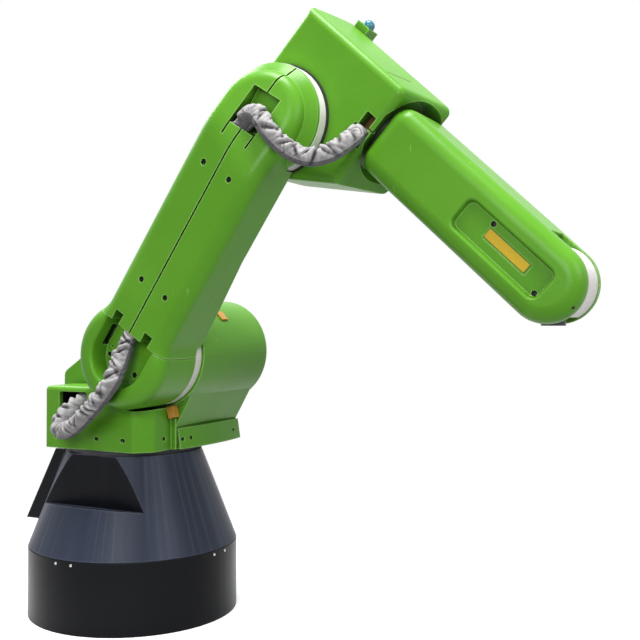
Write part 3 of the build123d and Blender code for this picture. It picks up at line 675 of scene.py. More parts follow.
COVER = CoverPaint(
    "soft_green_cover", (0.124, 0.38, 0.022), (0.1, 0.325, 0.015), (0.28, 0.4), specular=0.22,
)
SKIRT = SkirtVinyl(
    "charcoal_skirt", (0.05, 0.062, 0.098), (0.026, 0.032, 0.052), (0.28, 0.42), specular=0.12,
)
DRUM = SkirtVinyl(
    "black_drum", (0.008, 0.0085, 0.011), (0.004, 0.0045, 0.006), (0.24, 0.4), specular=0.1,
    reflection_and_scuff=(0.03, 0.031, 0.036), panel=(0.005, 0.0055, 0.0075), pull=0.002, edge_highlight_and_scuff=0.3,
)
RING = RingPaint("ring_white", (0.93, 0.91, 0.87), (0.84, 0.82, 0.77), (0.3, 0.45))
AMBER = Finish("amber_urethane", (0.7, 0.34, 0.06), (0.52, 0.23, 0.035), (0.3, 0.45))
PORT = Finish("brown_urethane", (0.13, 0.05, 0.012), (0.08, 0.03, 0.008), (0.35, 0.5))
DARK_METAL = Finish("dark_metal", (0.02, 0.02, 0.022), (0.012, 0.012, 0.013), (0.35, 0.55))
CAST = Finish("cast_base", (0.05, 0.05, 0.052), (0.035, 0.035, 0.037), (0.5, 0.7))
FLANGE = Finish("black_steel", (0.05, 0.05, 0.053), (0.03, 0.03, 0.032), (0.25, 0.4), metallic=0.8)
OXIDE = Finish("black_oxide", (0.02, 0.02, 0.02), (0.008, 0.008, 0.008), (0.35, 0.55), metallic=0.3)
ZINC = Finish("bright_zinc", (0.62, 0.62, 0.6), (0.45, 0.45, 0.44), (0.25, 0.4), metallic=0.7)
LENS = LampGlass("lamp_glass", (0.01, 0.16, 0.2), (0.05, 0.004, 0.006), (0.08, 0.16), specular=0.25)
CLOTH = WovenCloth(
    "sleeve_cloth", (0.43, 0.415, 0.42), (0.27, 0.258, 0.27), (0.6, 0.8), sheen=0.08, specular=0.15,
)
HEM = WovenCloth(
    "sleeve_hem", (0.17, 0.16, 0.18), (0.1, 0.095, 0.11), (0.6, 0.8), sheen=0.2, specular=0.2,
    painted_shade=(0.02, 0.018, 0.022), ridge_tone=(0.3, 0.29, 0.31),
)
PLATE = Finish("yellow_plate", (0.78, 0.52, 0.02), (0.68, 0.43, 0.015), (0.3, 0.45))
# near black that stands in for shade: inside the outlet and in the roof's scribed groove
SHADE_BLACK = Finish("painted_shade_black", (0.006, 0.006, 0.006), (0.003, 0.003, 0.003), (0.7, 0.9), specular=0.1)

CAD_DRESS: dict[Finish, tuple[str, ...]] = {
    COVER: (
        "shoulder_housing", "cable_box_cover", "front_apron", "arm_cover_front", "arm_cover_rear",
        "arm_lower_cover", "cable_tray", "elbow_housing", "lamp_box", "forearm_body",
        "forearm_near_cheek", "forearm_far_cheek",
    ),
    SKIRT: ("cone_skirt", "rear_hood"),
    DRUM: ("base_drum",),
    RING: ("shoulder_ring", "elbow_ring", "wrist_barrel"),
    AMBER: ("stop_block_upper", "stop_block_lower"),
    PORT: ("cable_port",),
    DARK_METAL: ("slew_ring", "elbow_bearing", "forearm_neck"),
    CAST: ("base_plate",),
    FLANGE: ("tool_flange",),
    LENS: ("lamp_lens",),
}


# Shared mesh work
def new_piece(name: str, shape: bmesh.types.BMesh, *finishes: Finish, slot: Slot) -> bpy.types.Object:
    """Turn a shape into a smooth, finished piece.

    Args:
        name: Piece's name.
        shape: Shape to use up.
        finishes: Finishes in the order of the faces' material numbers.
        slot: Record's slot meant for the piece; not used.

    Returns:
        The new object.
    """
    bmesh.ops.recalc_face_normals(shape, faces=shape.faces)
    mesh = bpy.data.meshes.new(name)
    shape.to_mesh(mesh)
    shape.free()
    mesh.polygons.foreach_set("use_smooth", [True] * len(mesh.polygons))
    mesh.set_sharp_from_angle(angle=SMOOTH_ANGLE)
    for finish in finishes:
        mesh.materials.append(finish.material())
    piece = bpy.data.objects.new(name, mesh)
    bpy.context.scene.collection.objects.link(piece)
    log.info("made %s with %d faces", name, len(mesh.polygons))
    return piece


def skin_rings(shape: bmesh.types.BMesh, rings: Sequence[Ring]) -> list[Band]:
    """Join rings of equal length into a tube with closed ends.

    Args:
        shape: Shape to add the tube to.
        rings: Points of each ring, in order.

    Returns:
        The faces between each ring and the next.
    """
    rows = [[shape.verts.new(point) for point in ring] for ring in rings]
    bands = []
    for low, high in zip(rows, rows[1:]):
        band = []
        for i in range(len(low)):
            j = (i + 1) % len(low)
            band.append(shape.faces.new((low[i], low[j], high[j], high[i])))
        bands.append(band)
    shape.faces.new(rows[0][::-1])
    shape.faces.new(rows[-1])
    return bands


def facing(place: Vector, outward: Sequence[float], along: Vector) -> Matrix:
    """Matrix that stands things on a face.

    Args:
        place: Point on the face.
        outward: Face's outward direction.
        along: Direction of the local x axis on the face.

    Returns:
        The matrix.
    """
    up = Vector(outward).normalized()
    across = up.cross(along).normalized()
    turn = Matrix((across.cross(up), across, up)).transposed()
    return Matrix.Translation(place) @ turn.to_4x4()


def rounded_ring(width: float, height: float, radius: float, steps: int = 6) -> list[tuple[float, float]]:
    """Outline of a rectangle with round corners about its middle.

    Args:
        width: Full width.
        height: Full height.
        radius: Corner radius.
        steps: Points on each corner, less one.

    Returns:
        The outline's points, turning left.
    """
    points = []
    for quarter, (sx, sy) in enumerate(((1, 1), (-1, 1), (-1, -1), (1, -1))):
        for step in range(steps + 1):
            angle = math.pi / 2 * (quarter + step / steps)
            x = sx * (width / 2 - radius) + radius * math.cos(angle)
            points.append((x, sy * (height / 2 - radius) + radius * math.sin(angle)))
    return points


# Cable sleeves
@dataclass(frozen=True)
class Fold:
    """One crease in a sleeve's cloth: a sharp valley with a swell on both sides.

    Attributes:
        at: Distance of its middle along the sleeve, in metres.
        lean: Distance that it moves along for each radian round the sleeve.
        depth: Depth at its middle, in metres.
        turn: Angle of its middle, round the sleeve from the hem.
        spread: Half of the angle that it covers.
        width: Half of its valley's width, in metres.
        swell: Height of the swells, as a share of the depth.
        swell_at: Distance of a swell from the middle, in widths.
        swell_width: Half width of a swell, in widths.
        valley_power: How sharp the valley's bottom is, where 2 is round.
        end: Distance where the crease has died out, in widths.
    """

    at: float
    lean: float
    depth: float
    turn: float
    spread: float
    width: float
    swell: float = 0.5
    swell_at: float = 2.6
    swell_width: float = 1.3
    valley_power: float = 1.25
    end: float = 5.0

    def reach(self) -> float:
        """Distance along the sleeve past which the crease does nothing."""
        return abs(self.lean) * self.spread + self.end * self.width

    def height(self, along: float, angle: float) -> float:
        """Height that the crease and the swell beside it give the cloth.

        Args:
            along: Distance along the sleeve in metres.
            angle: Angle round the sleeve from its hem.

        Returns:
            The height over the plain tube in metres.
        """
        off = math.remainder(angle - self.turn, 2 * math.pi)
        if abs(off) >= self.spread:
            return 0.0
        share = math.cos(math.pi / 2 * off / self.spread) ** 2
        t = (along - self.at - self.lean * off) / self.width
        swell = self.swell * math.exp(-(((abs(t) - self.swell_at) / self.swell_width) ** 2))
        return self.depth * share * (swell - math.exp(-abs(t) ** self.valley_power))


@dataclass(frozen=True)
class Creasing:
    """One kind of crease, strewn unevenly along a sleeve.

    Attributes:
        gap: Usual distance between two creases, in metres.
        depth: Usual depth in metres.
        width: Usual half width in metres.
        wander: Greatest angle that a crease is off its side of the sleeve.
        leans: Least and greatest lean.
        spreads: Least and greatest half angle that a crease covers.
        depth_span: Least and greatest share of the usual depth.
        width_span: Least and greatest share of the usual width.
        gap_span: Least and greatest share of the usual gap.
        flip: How often the next crease leans the other way.
    """

    gap: float
    depth: float
    width: float
    wander: float
    leans: Span = (0.006, 0.022)
    spreads: Span = (1.2, 2.2)
    depth_span: Span = (0.6, 1.2)
    width_span: Span = (0.8, 1.4)
    gap_span: Span = (0.65, 1.45)
    flip: float = 0.7

    def strew(self, draw: random.Random, length: float, side: float) -> list[Fold]:
        """Draw the creases of one sleeve.

        Args:
            draw: Source of the random values.
            length: Length of the sleeve in metres.
            side: Angle of the creases' side, round the sleeve from the hem.

        Returns:
            The creases.
        """
        folds = []
        at = self.gap
        way = 1.0
        while at < length - 0.5 * self.gap:
            folds.append(
                Fold(
                    at=at,
                    lean=way * draw.uniform(*self.leans),
                    depth=self.depth * draw.uniform(*self.depth_span),
                    turn=side + draw.uniform(-self.wander, self.wander),
                    spread=draw.uniform(*self.spreads),
                    width=self.width * draw.uniform(*self.width_span),
                )
            )
            at += self.gap * draw.uniform(*self.gap_span)
            way = -way if draw.random() < self.flip else way
        return folds


@dataclass
class CableSleeve:
    """Cloth sleeve round the cables across one joint, creased where it bends, with a dark hem below.

    Attributes:
        name: Piece's name.
        node: CAD node that it replaces.
        route: Points of its line.
        bodies: Bodies that hold its first and last end; not used.
        hem_towards: Direction that the hem faces.
        hem_at: Share of the line where the hem faces that way.
        seed: Start of the random creases.
        cuff: Length of the narrow cuff at the last end.
        bulge_at: Distance along the line where the cloth bunches up.
        radius: Radius of the plain tube.
        segments: Sides of the tube.
        hem_half: Sides that the hem covers each way.
        hem_step: Height of the hem over the tube.
        hem_share: Share of the creases' height that the hem keeps.
        fold_side: Angle of the creases, from the place opposite the hem.
        creasings: Kinds of crease.
        lump: Height of the uneven stuffing.
        lumps: Lumps of the stuffing per metre.
        bulge: Height of the bunched cloth.
        bulge_reach: Half length of the bunched cloth.
        cuff_step: Depth of the cuff below the tube.
        cuff_share: Share of the creases' height that the cuff keeps.
        cuff_wave: How uneven the cuff's lip is, as a share of its length.
        cuff_turn: Angle where the cuff is longest.
        line_steps: Steps of the line between two points of the route.
        swell_limit: Swells flatten out towards one and a half times this height.
    """

    name: str
    node: str
    route: list[Vector]
    bodies: tuple[Body, Body]
    hem_towards: Vector
    hem_at: float
    seed: int
    cuff: float
    bulge_at: float
    radius: float = 0.024
    segments: int = 64
    hem_half: int = 8
    hem_step: float = 0.0012
    hem_share: float = 0.35
    fold_side: float = 1.0
    creasings: tuple[Creasing, ...] = (
        Creasing(gap=0.026, depth=0.0095, width=0.0044, wander=0.5),
        Creasing(gap=0.007, depth=0.002, width=0.0024, wander=2.2),
    )
    lump: float = 0.003
    lumps: float = 34.0
    bulge: float = 0.004
    bulge_reach: float = 0.03
    cuff_step: float = 0.0035
    cuff_share: float = 0.5
    cuff_wave: float = 0.3
    cuff_turn: float = 2.0
    line_steps: int = 30
    swell_limit: float = 0.0045

    def build(self) -> bpy.types.Object:
        """Returns:
            The sleeve.
        """
        line = self.spline_points()
        lengths = [0.0]
        for before, after in zip(line, line[1:]):
            lengths.append(lengths[-1] + (after - before).length)
        rings, creases = self.creased_rings(line, lengths)
        sleeve = new_piece(self.name, self.cloth(rings, lengths), CLOTH, HEM, slot=Slot.CLOTH)
        # crease heights, which the cloth finish turns into painted shade in the creases
        sleeve.data.attributes.new(RELIEF, "FLOAT", "POINT").data.foreach_set("value", creases)
        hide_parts(self.node)
        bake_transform(sleeve)
        return sleeve

    def creased_rings(self, line: list[Vector], lengths: list[float]) -> tuple[list[Ring], list[float]]:
        """Rings of the cloth along the line.

        Args:
            line: Points of the line.
            lengths: Distance of each point along the line.

        Returns:
            The rings, and the height of the creases at each of their points.
        """
        draw = random.Random(self.seed)
        side_angle = math.pi + self.fold_side
        folds = []
        for creasing in self.creasings:
            folds += creasing.strew(draw, lengths[-1], side_angle)
        rings = []
        creases = []
        for point, along, side, up in zip(line, lengths, *self.frames(line)):
            close = [fold for fold in folds if abs(along - fold.at) < fold.reach()]
            ring = []
            for i in range(self.segments):
                angle = 2 * math.pi * i / self.segments
                away = side * math.cos(angle) + up * math.sin(angle)
                crease = sum(fold.height(along, angle) for fold in close)
                stuffing = noise.fractal((point + away * self.radius) * self.lumps, 1.0, 2.0, 3)
                relief = self.relief(crease + self.lump * stuffing, along, lengths[-1], i)
                ring.append(point + away * (self.radius + relief))
                creases.append(crease)
            rings.append(ring)
        return rings, creases

    def cloth(self, rings: list[Ring], lengths: list[float]) -> bmesh.types.BMesh:
        """Tube over the rings, with its hem marked and a UV map in the cloth's own metres.

        Args:
            rings: Rings of the cloth.
            lengths: Distance of each ring along the line.

        Returns:
            The shape.
        """
        shape = bmesh.new()
        uv = shape.loops.layers.uv.new("cloth")
        pitch = 2 * math.pi * self.radius / self.segments
        for band, low, high in zip(skin_rings(shape, rings), lengths, lengths[1:]):
            for i, face in enumerate(band):
                hem = i < self.hem_half or i >= self.segments - self.hem_half
                face.material_index = 1 if hem else 0
                corners = ((i, low), (i + 1, low), (i + 1, high), (i, high))
                for loop, (j, along) in zip(face.loops, corners):
                    loop[uv].uv = (j * pitch, along)
        return shape

    def spline_points(self) -> list[Vector]:
        """Points along the smooth line of the route.

        Returns:
            The points in order.
        """
        data = bpy.data.curves.new(self.name + "_line", "CURVE")
        data.dimensions = "3D"
        spline = data.splines.new("NURBS")
        spline.points.add(len(self.route) - 1)
        for point, place in zip(spline.points, self.route):
            point.co = (*place, 1.0)
        spline.order_u = 3
        spline.use_endpoint_u = True
        spline.resolution_u = self.line_steps
        carrier = bpy.data.objects.new(self.name + "_line", data)
        mesh = bpy.data.meshes.new_from_object(carrier)
        points = [vertex.co.copy() for vertex in mesh.vertices]
        bpy.data.meshes.remove(mesh)
        bpy.data.objects.remove(carrier)
        bpy.data.curves.remove(data)
        return points

    def frames(self, line: list[Vector]) -> tuple[list[Vector], list[Vector]]:
        """Directions across the line that turn with it and face the hem at one place.

        Args:
            line: Points of the line.

        Returns:
            The hem's direction and the direction square to it, at each point.
        """
        last = len(line) - 1
        tangents = [(line[min(i + 1, last)] - line[max(i - 1, 0)]).normalized() for i in range(last + 1)]
        anchor = int(self.hem_at * last)
        start = self.hem_towards - tangents[anchor] * self.hem_towards.dot(tangents[anchor])
        sides = {anchor: start.normalized()}
        for step in (1, -1):
            i = anchor
            while 0 <= i + step <= last:
                turn = tangents[i].rotation_difference(tangents[i + step])
                sides[i + step] = turn @ sides[i]
                i += step
        ordered = [sides[i] for i in range(last + 1)]
        return ordered, [tangent.cross(side) for tangent, side in zip(tangents, ordered)]

    def relief(self, height: float, along: float, length: float, i: int) -> float:
        """Height of the cloth over the plain tube, with its bulge, hem and cuff.

        Args:
            height: Height that the creases and lumps give.
            along: Distance along the sleeve.
            length: Length of the sleeve.
            i: Segment round the sleeve, from the hem.

        Returns:
            The height in metres.
        """
        height += self.bulge * math.exp(-(((along - self.bulge_at) / self.bulge_reach) ** 2))
        if min(i, self.segments - i) <= self.hem_half:
            height = self.hem_share * height + self.hem_step
        angle = 2 * math.pi * i / self.segments
        lip = length - self.cuff * (1 + self.cuff_wave * math.cos(angle - self.cuff_turn))
        if self.cuff and along > lip:
            height = self.cuff_share * height - self.cuff_step
        free = 0.5 * self.swell_limit
        over = max(0.0, height - free)
        return min(height, free) + self.swell_limit * math.tanh(over / self.swell_limit)


# Small fittings
@dataclass(frozen=True)
class SocketScrew:
    """Socket head with a chamfered rim and a six-sided recess."""

    radius: float
    height: float
    segments: int = 24
    chamfer_share: float = 0.16
    socket_share: float = 0.52
    socket_depth: float = 0.6
    lip_share: float = 1.06
    lip_depth: float = 0.3

    def add_to(self, shape: bmesh.types.BMesh, place: Matrix) -> None:
        """Add one head to a shape.

        Args:
            shape: Shape that collects the heads.
            place: Matrix that stands the head on its seat.
        """
        chamfer = self.chamfer_share * self.radius
        socket = self.socket_share * self.radius
        floor = self.height * (1 - self.socket_depth)
        profile = (
            (self.radius, 0.0, False),
            (self.radius, self.height - chamfer, False),
            (self.radius - chamfer, self.height, False),
            (socket * self.lip_share, self.height, True),
            (socket, self.height - self.lip_depth * chamfer, True),
            (socket, floor, True),
        )
        rings = []
        for radius, rise, six_sided in profile:
            ring = []
            for i in range(self.segments):
                angle = 2 * math.pi * i / self.segments
                reach = radius
                if six_sided:
                    reach = radius / math.cos((angle + math.pi / 6) % (math.pi / 3) - math.pi / 6)
                ring.append(place @ Vector((reach * math.cos(angle), reach * math.sin(angle), rise)))
            rings.append(ring)
        skin_rings(shape, rings)


@dataclass
class CoverScrews:
    """Dark socket screws at the bottom of the wells and slots of the covers."""

    arm_u: tuple[float, float] = (0.2275, 0.604)
    arm_v: float = 0.0485
    arm_seat_y: float = -0.258
    scoop: tuple[tuple[float, float], ...] = ((-0.037, -0.061), (-0.036, 0.048))
    scoop_seat_y: float = -0.204
    panel: tuple[tuple[float, float], ...] = ((0.664, 0.186), (0.859, 0.127))
    panel_seat_y: float = -0.083
    slot_x: tuple[float, ...] = (-0.15, 0.007, 0.106)
    slot_y: float = -0.18
    slot_z: float = 0.5415
    facet: tuple[float, float] = (0.178, -0.099)
    apron_x: float = 0.204
    apron_y: tuple[float, ...] = (-0.037, 0.001, 0.239)
    apron_z: float = 0.5355
    brow: Place = (0.247, 0.2506, -0.0594)
    tip: Place = (0.9534, 0.1657, -0.0935)
    tip_outward: tuple[float, float, float] = (0.65, -0.517, -0.556)
    head: SocketScrew = SocketScrew(0.0066, 0.006)
    flush_head: SocketScrew = SocketScrew(0.0046, 0.0009)
    small_head: SocketScrew = SocketScrew(0.0048, 0.005)

    def build(self) -> None:
        """Make one piece of screws for each body that carries some."""
        near, ahead = Facing.NEAR.value, Facing.AHEAD.value
        pairs = [(u, v) for u in self.arm_u for v in (self.arm_v, -self.arm_v)]
        arm = [CHAIN.arm_point(u, v, self.arm_seat_y) for u, v in pairs]
        arm += [CHAIN.arm_point(u, v, self.scoop_seat_y) for u, v in self.scoop]
        self.screws("arm_cover_screws", Body.UPPER_ARM, self.head, [(p, near) for p in arm])
        panel = [CHAIN.elbow_point(u, v, self.panel_seat_y) for u, v in self.panel]
        self.screws("forearm_panel_screws", Body.FOREARM, self.head, [(p, near) for p in panel])
        brow = [(CHAIN.elbow_point(*self.brow), CHAIN.fore_u)]
        self.screws("elbow_brow_screw", Body.ELBOW, self.flush_head, brow)
        tip = [(CHAIN.elbow_point(*self.tip), self.tip_outward)]
        self.screws("forearm_tip_screw", Body.FOREARM, self.flush_head, tip)
        table = [(Vector((x, self.slot_y, self.slot_z)), near) for x in self.slot_x]
        table.append((Vector((*self.facet, self.slot_z)), ahead))
        table += [(Vector((self.apron_x, y, self.apron_z)), ahead) for y in self.apron_y]
        self.screws("table_cover_screws", Body.TURNTABLE, self.small_head, table)

    def screws(self, name: str, body: Body, head: SocketScrew, seats: list[Seat]) -> None:
        """Make the screws of one body.

        Args:
            name: Piece's name.
            body: Body that carries them.
            head: Kind of head.
            seats: Seat and outward direction of each screw.
        """
        shape = bmesh.new()
        for place, outward in seats:
            head.add_to(shape, facing(place, outward, Vector((0.0, 0.0, 1.0))))
        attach(new_piece(name, shape, OXIDE, slot=Slot.DARK), body.value)


@dataclass
class DrumScrews:
    """Pairs of small bright screws below the drum's rim."""

    radius: float = 0.319
    height: float = 0.198
    half_gap: float = 5.0
    quarters: tuple[float, ...] = (-90.0, 0.0, 90.0, 180.0)
    head: SocketScrew = SocketScrew(0.0042, 0.0028)

    def build(self) -> None:
        """Make all of the drum's screws as one piece."""
        shape = bmesh.new()
        for quarter in self.quarters:
            for side in (1, -1):
                angle = math.radians(quarter + side * self.half_gap)
                outward = Vector((math.cos(angle), math.sin(angle), 0.0))
                place = outward * self.radius + Vector((0.0, 0.0, self.height))
                self.head.add_to(shape, facing(place, outward, Vector((0.0, 0.0, 1.0))))
        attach(new_piece("drum_screws", shape, ZINC, slot=Slot.PALE), Body.BASE.value)


@dataclass
class OutletShadeCup:
    """Black cup that lines the inside of the cable box's outlet, as painted shade of the outlet's inside.
    """

    back_x: float = -0.137
    front_x: float = -0.028
    low_z: float = 0.609
    high_z: float = 0.678
    mouth_y: float = -0.174
    end_y: float = -0.0805
    corner: float = 0.01
    gap: float = 0.0004
    wall: float = 0.002

    def build(self) -> None:
        """Make the cup as one closed shell."""
        middle = Vector(((self.back_x + self.front_x) / 2, 0.0, (self.low_z + self.high_z) / 2))
        shape = bmesh.new()
        profile = (
            (self.gap, self.end_y),
            (self.gap, self.mouth_y),
            (self.gap + self.wall, self.mouth_y),
            (self.gap + self.wall, self.end_y - self.wall),
        )
        rings = []
        for inset, y in profile:
            width = self.front_x - self.back_x - 2 * inset
            height = self.high_z - self.low_z - 2 * inset
            outline = rounded_ring(width, height, self.corner - inset)
            rings.append([middle + Vector((x, y, z)) for x, z in outline])
        skin_rings(shape, rings)
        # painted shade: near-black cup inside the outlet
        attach(new_piece("outlet_shade_cup", shape, SHADE_BLACK, slot=Slot.DARK), Body.TURNTABLE.value)


@dataclass
class NamePlate:
    """Bare yellow plate in the recess of the forearm's panel."""

    start_u: float = 0.664
    end_u: float = 0.803
    low_v: float = 0.146
    high_v: float = 0.172
    seat_y: float = -0.091
    thick: float = 0.0016
    corner: float = 0.002
    edge: float = 0.0005

    def build(self) -> None:
        """Make the plate with softened edges."""
        u, v = (self.start_u + self.end_u) / 2, (self.low_v + self.high_v) / 2
        place = facing(CHAIN.elbow_point(u, v, self.seat_y), Facing.NEAR.value, CHAIN.fore_u)
        shape = bmesh.new()
        profile = ((0.0, 0.0), (0.0, self.thick - self.edge), (self.edge, self.thick))
        rings = []
        for inset, rise in profile:
            width = self.end_u - self.start_u - 2 * inset
            outline = rounded_ring(width, self.high_v - self.low_v - 2 * inset, self.corner - inset)
            rings.append([place @ Vector((x, y, rise)) for x, y in outline])
        skin_rings(shape, rings)
        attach(new_piece("blank_plate", shape, PLATE, slot=Slot.AMBER), Body.FOREARM.value)


@dataclass
class RoofLine:
    """Fine dark line across the elbow's roof, as painted shade of a scribed groove."""

    start: Place = (0.1657, 0.2938, -0.09)
    end: Place = (0.1822, 0.3055, 0.0256)
    steps: int = 16
    half_width: float = 0.0009
    rise: float = 0.0003

    def build(self) -> None:
        """Lay a thin strip along the roof's own surface."""
        roof = frame["nodes"]["elbow_housing"]
        first, last = CHAIN.elbow_point(*self.start), CHAIN.elbow_point(*self.end)
        rings = []
        for step in range(self.steps + 1):
            point = roof.matrix_world.inverted() @ first.lerp(last, step / self.steps)
            _, place, normal, _ = roof.closest_point_on_mesh(point)
            across = normal.cross(last - first).normalized() * self.half_width
            lift = normal * self.rise
            corners = (across - lift, across + lift, -across + lift, -across - lift)
            rings.append([roof.matrix_world @ (place + corner) for corner in corners])
        shape = bmesh.new()
        skin_rings(shape, rings)
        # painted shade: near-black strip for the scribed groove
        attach(new_piece("roof_line", shape, SHADE_BLACK, slot=Slot.DARK), Body.ELBOW.value)


# Studio
@dataclass(frozen=True)
class SoftLamp:
    """Square area lamp that faces a point, with its size in metres and its power in watts."""

    name: str
    place: Place
    aim: Place
    size: float
    power: float

    def build(self) -> None:
        """Hang the lamp in the scene."""
        data = bpy.data.lights.new(self.name, "AREA")
        data.energy = self.power
        data.size = self.size
        lamp = bpy.data.objects.new(self.name, data)
        lamp.location = self.place
        aim = Vector(self.aim) - Vector(self.place)
        lamp.rotation_euler = aim.to_track_quat("-Z", "Y").to_euler()
        bpy.context.scene.collection.objects.link(lamp)


@dataclass
class Studio:
    """Pale floor, soft lamps and the camera at the photograph's view."""

    place: Place = (1.93046, -2.42549, 0.89773)
    turn: float = 26.61
    tilt: float = 0.852
    focal_px: float = 960.62
    centre_px: tuple[float, float] = (337.76, 304.71)
    frame_px: float = 640.0
    sensor: float = 36.0
    floor_radius: float = 9.0
    floor_sides: int = 96
    floor_tone: float = 0.8
    fade_start: float = 0.5
    fade_end: float = 1.9
    floor_glow: float = 0.55
    floor_bounce: float = 0.22
    ambient: float = 0.11
    lamps: tuple[SoftLamp, ...] = (
        SoftLamp("key_lamp", (1.9, -4.8, 2.4), (0.4, -0.2, 0.6), 2.2, 128.0),
        SoftLamp("top_lamp", (1.0, -0.6, 6.2), (0.6, 0.0, 0.9), 2.4, 430.0),
        SoftLamp("left_lamp", (-3.4, 1.6, 4.6), (0.4, 0.0, 1.0), 2.4, 120.0),
        SoftLamp("side_lamp", (4.4, -0.8, 2.6), (0.2, 0.0, 0.6), 1.8, 50.0),
    )

    def build(self) -> None:
        """Make the camera, world, floor and lamps."""
        bpy.context.scene.view_settings.view_transform = "Standard"
        self.camera()
        self.world()
        self.floor()
        for lamp in self.lamps:
            lamp.build()
        log.info("studio ready")

    def camera(self) -> None:
        """Stand the camera where the photograph was taken from."""
        data = bpy.data.cameras.new("photo_camera")
        data.sensor_width = self.sensor
        data.lens = self.focal_px / self.frame_px * self.sensor
        half = self.frame_px / 2
        data.shift_x = (half - self.centre_px[0]) / self.frame_px
        data.shift_y = (self.centre_px[1] - half) / self.frame_px
        camera = bpy.data.objects.new("photo_camera", data)
        camera.location = self.place
        camera.rotation_euler = (math.radians(90 + self.tilt), 0, math.radians(self.turn))
        bpy.context.scene.collection.objects.link(camera)
        bpy.context.scene.camera = camera

    @staticmethod
    def showing(tree: bpy.types.NodeTree) -> Socket:
        """Value that is 1 for rays that show the background to the camera, in a mirror or through glass.

        Args:
            tree: Node tree of the world or of a material.

        Returns:
            The value's socket.
        """
        path = tree.nodes.new("ShaderNodeLightPath")
        total = path.outputs["Is Camera Ray"]
        for name in ("Is Glossy Ray", "Is Transmission Ray"):
            node = tree.nodes.new("ShaderNodeMath")
            node.operation = "MAXIMUM"
            tree.links.new(total, node.inputs[0])
            tree.links.new(path.outputs[name], node.inputs[1])
            total = node.outputs[0]
        return total

    def world(self) -> None:
        """White to the camera and in reflections, a soft grey as light."""
        world = bpy.data.worlds.new("studio_world")
        bpy.context.scene.world = world
        world.use_nodes = True
        tree = world.node_tree
        background = tree.nodes["Background"]
        background.inputs["Color"].default_value = (1, 1, 1, 1)
        spread = tree.nodes.new("ShaderNodeMapRange")
        spread.inputs["To Min"].default_value = self.ambient
        spread.inputs["To Max"].default_value = 1.0
        tree.links.new(self.showing(tree), spread.inputs["Value"])
        tree.links.new(spread.outputs["Result"], background.inputs["Strength"])

    def floor(self) -> None:
        """Lay a pale round floor that fades into the white away from the object."""
        shape = bmesh.new()
        bmesh.ops.create_circle(shape, cap_ends=True, radius=self.floor_radius, segments=self.floor_sides)
        mesh = bpy.data.meshes.new("floor")
        shape.to_mesh(mesh)
        shape.free()
        floor = bpy.data.objects.new("floor", mesh)
        bpy.context.scene.collection.objects.link(floor)
        bench = NodeBench("pale_floor")
        distance = bench.add("ShaderNodeVectorMath", operation="LENGTH")
        bench.link(bench.coords.outputs["Object"], distance.inputs[0])
        far = bench.spread(distance.outputs["Value"], 0.0, 1.0, self.fade_start, self.fade_end)
        showing = self.showing(bench.tree)
        pale = bench.mix(showing, (self.floor_bounce,) * 3, (self.floor_tone,) * 3)
        tone = bench.mix(bench.combine("MULTIPLY", far, showing), pale, BLACK)
        bench.link(tone, bench.shader.inputs["Base Color"])
        glow = bench.combine("MULTIPLY", showing, bench.spread(far, self.floor_glow, 1.0))
        bench.link(glow, bench.shader.inputs["Emission Strength"])
        bench.shader.inputs["Emission Color"].default_value = (1, 1, 1, 1)
        bench.shader.inputs["Roughness"].default_value = 1.0
        bench.shader.inputs["Specular IOR Level"].default_value = 0.0
        mesh.materials.append(bench.material)


def dress_cad_nodes() -> None:
    """Give every carried-over CAD node its finish."""
    for finish, names in CAD_DRESS.items():
        for name in names:
            mesh = frame["nodes"][name].data
            mesh.materials.clear()
            mesh.materials.append(finish.material())
            log.info("dressed %s in %s", name, finish.name)


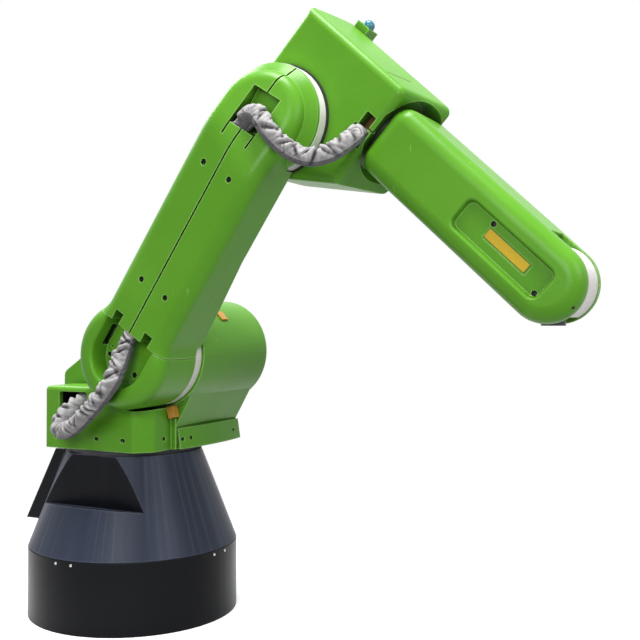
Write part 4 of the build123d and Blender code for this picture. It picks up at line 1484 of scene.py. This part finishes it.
def shoulder_sleeve() -> CableSleeve:
    """Sleeve that leaves the box, folds under its own weight and climbs into the lower arm cover.

    Returns:
        The sleeve, ready to build.
    """
    s, a = CHAIN.shoulder_point, CHAIN.arm_point
    route = [
        s(-0.212, -0.128, -0.143), s(-0.208, -0.186, -0.143), s(-0.223, -0.222, -0.174),
        s(-0.233, -0.239, -0.199), s(-0.221, -0.257, -0.220), s(-0.192, -0.271, -0.224),
        s(-0.160, -0.278, -0.212), s(-0.110, -0.294, -0.187), s(-0.050, -0.302, -0.137),
        a(-0.062, 0.047, -0.301), a(-0.024, 0.032, -0.285), a(0.012, 0.012, -0.265),
        a(0.0465, -0.004, -0.252), a(0.0775, -0.004, -0.252),
    ]
    return CableSleeve(
        "shoulder_cable_sleeve", "shoulder_sleeve", route, (Body.TURNTABLE, Body.UPPER_ARM),
        hem_towards=Vector((0.68, 0.2, -0.47)), hem_at=0.62, seed=11, cuff=0.05, bulge_at=0.12,
    )


def elbow_sleeve() -> CableSleeve:
    """Sleeve that leaves the tray, sags across the elbow joint and enters the cable port.

    Returns:
        The sleeve, ready to build.
    """
    h, e = CHAIN.head_point, CHAIN.elbow_point
    route = [
        h(-0.077, -0.019, -0.232), h(-0.048, -0.019, -0.232), h(-0.023, -0.009, -0.238),
        h(-0.003, 0.010, -0.254), h(0.003, 0.042, -0.272), h(-0.008, 0.072, -0.282),
        h(-0.019, 0.100, -0.280), h(-0.030, 0.142, -0.265), h(-0.031, 0.184, -0.250),
        e(0.218, 0.018, -0.232), e(0.238, 0.050, -0.212), e(0.244, 0.090, -0.190),
        e(0.238, 0.116, -0.160), e(0.220, 0.120, -0.128), e(0.217, 0.117, -0.104),
        e(0.217, 0.117, -0.071),
    ]
    return CableSleeve(
        "elbow_cable_sleeve", "elbow_sleeve", route, (Body.UPPER_ARM, Body.ELBOW),
        hem_towards=Vector((-0.3, -0.27, -0.9)), hem_at=0.5, seed=5, cuff=0.0, bulge_at=0.06,
    )


def main() -> None:
    """Build the studio and every sub-assembly in order."""
    logging.basicConfig(level=logging.INFO)
    Studio().build()
    dress_cad_nodes()
    parts = (
        shoulder_sleeve(), elbow_sleeve(), CoverScrews(), DrumScrews(), OutletShadeCup(), NamePlate(),
        RoofLine(),
    )
    for part in parts:
        part.build()


if __name__ == "__main__":
    main()
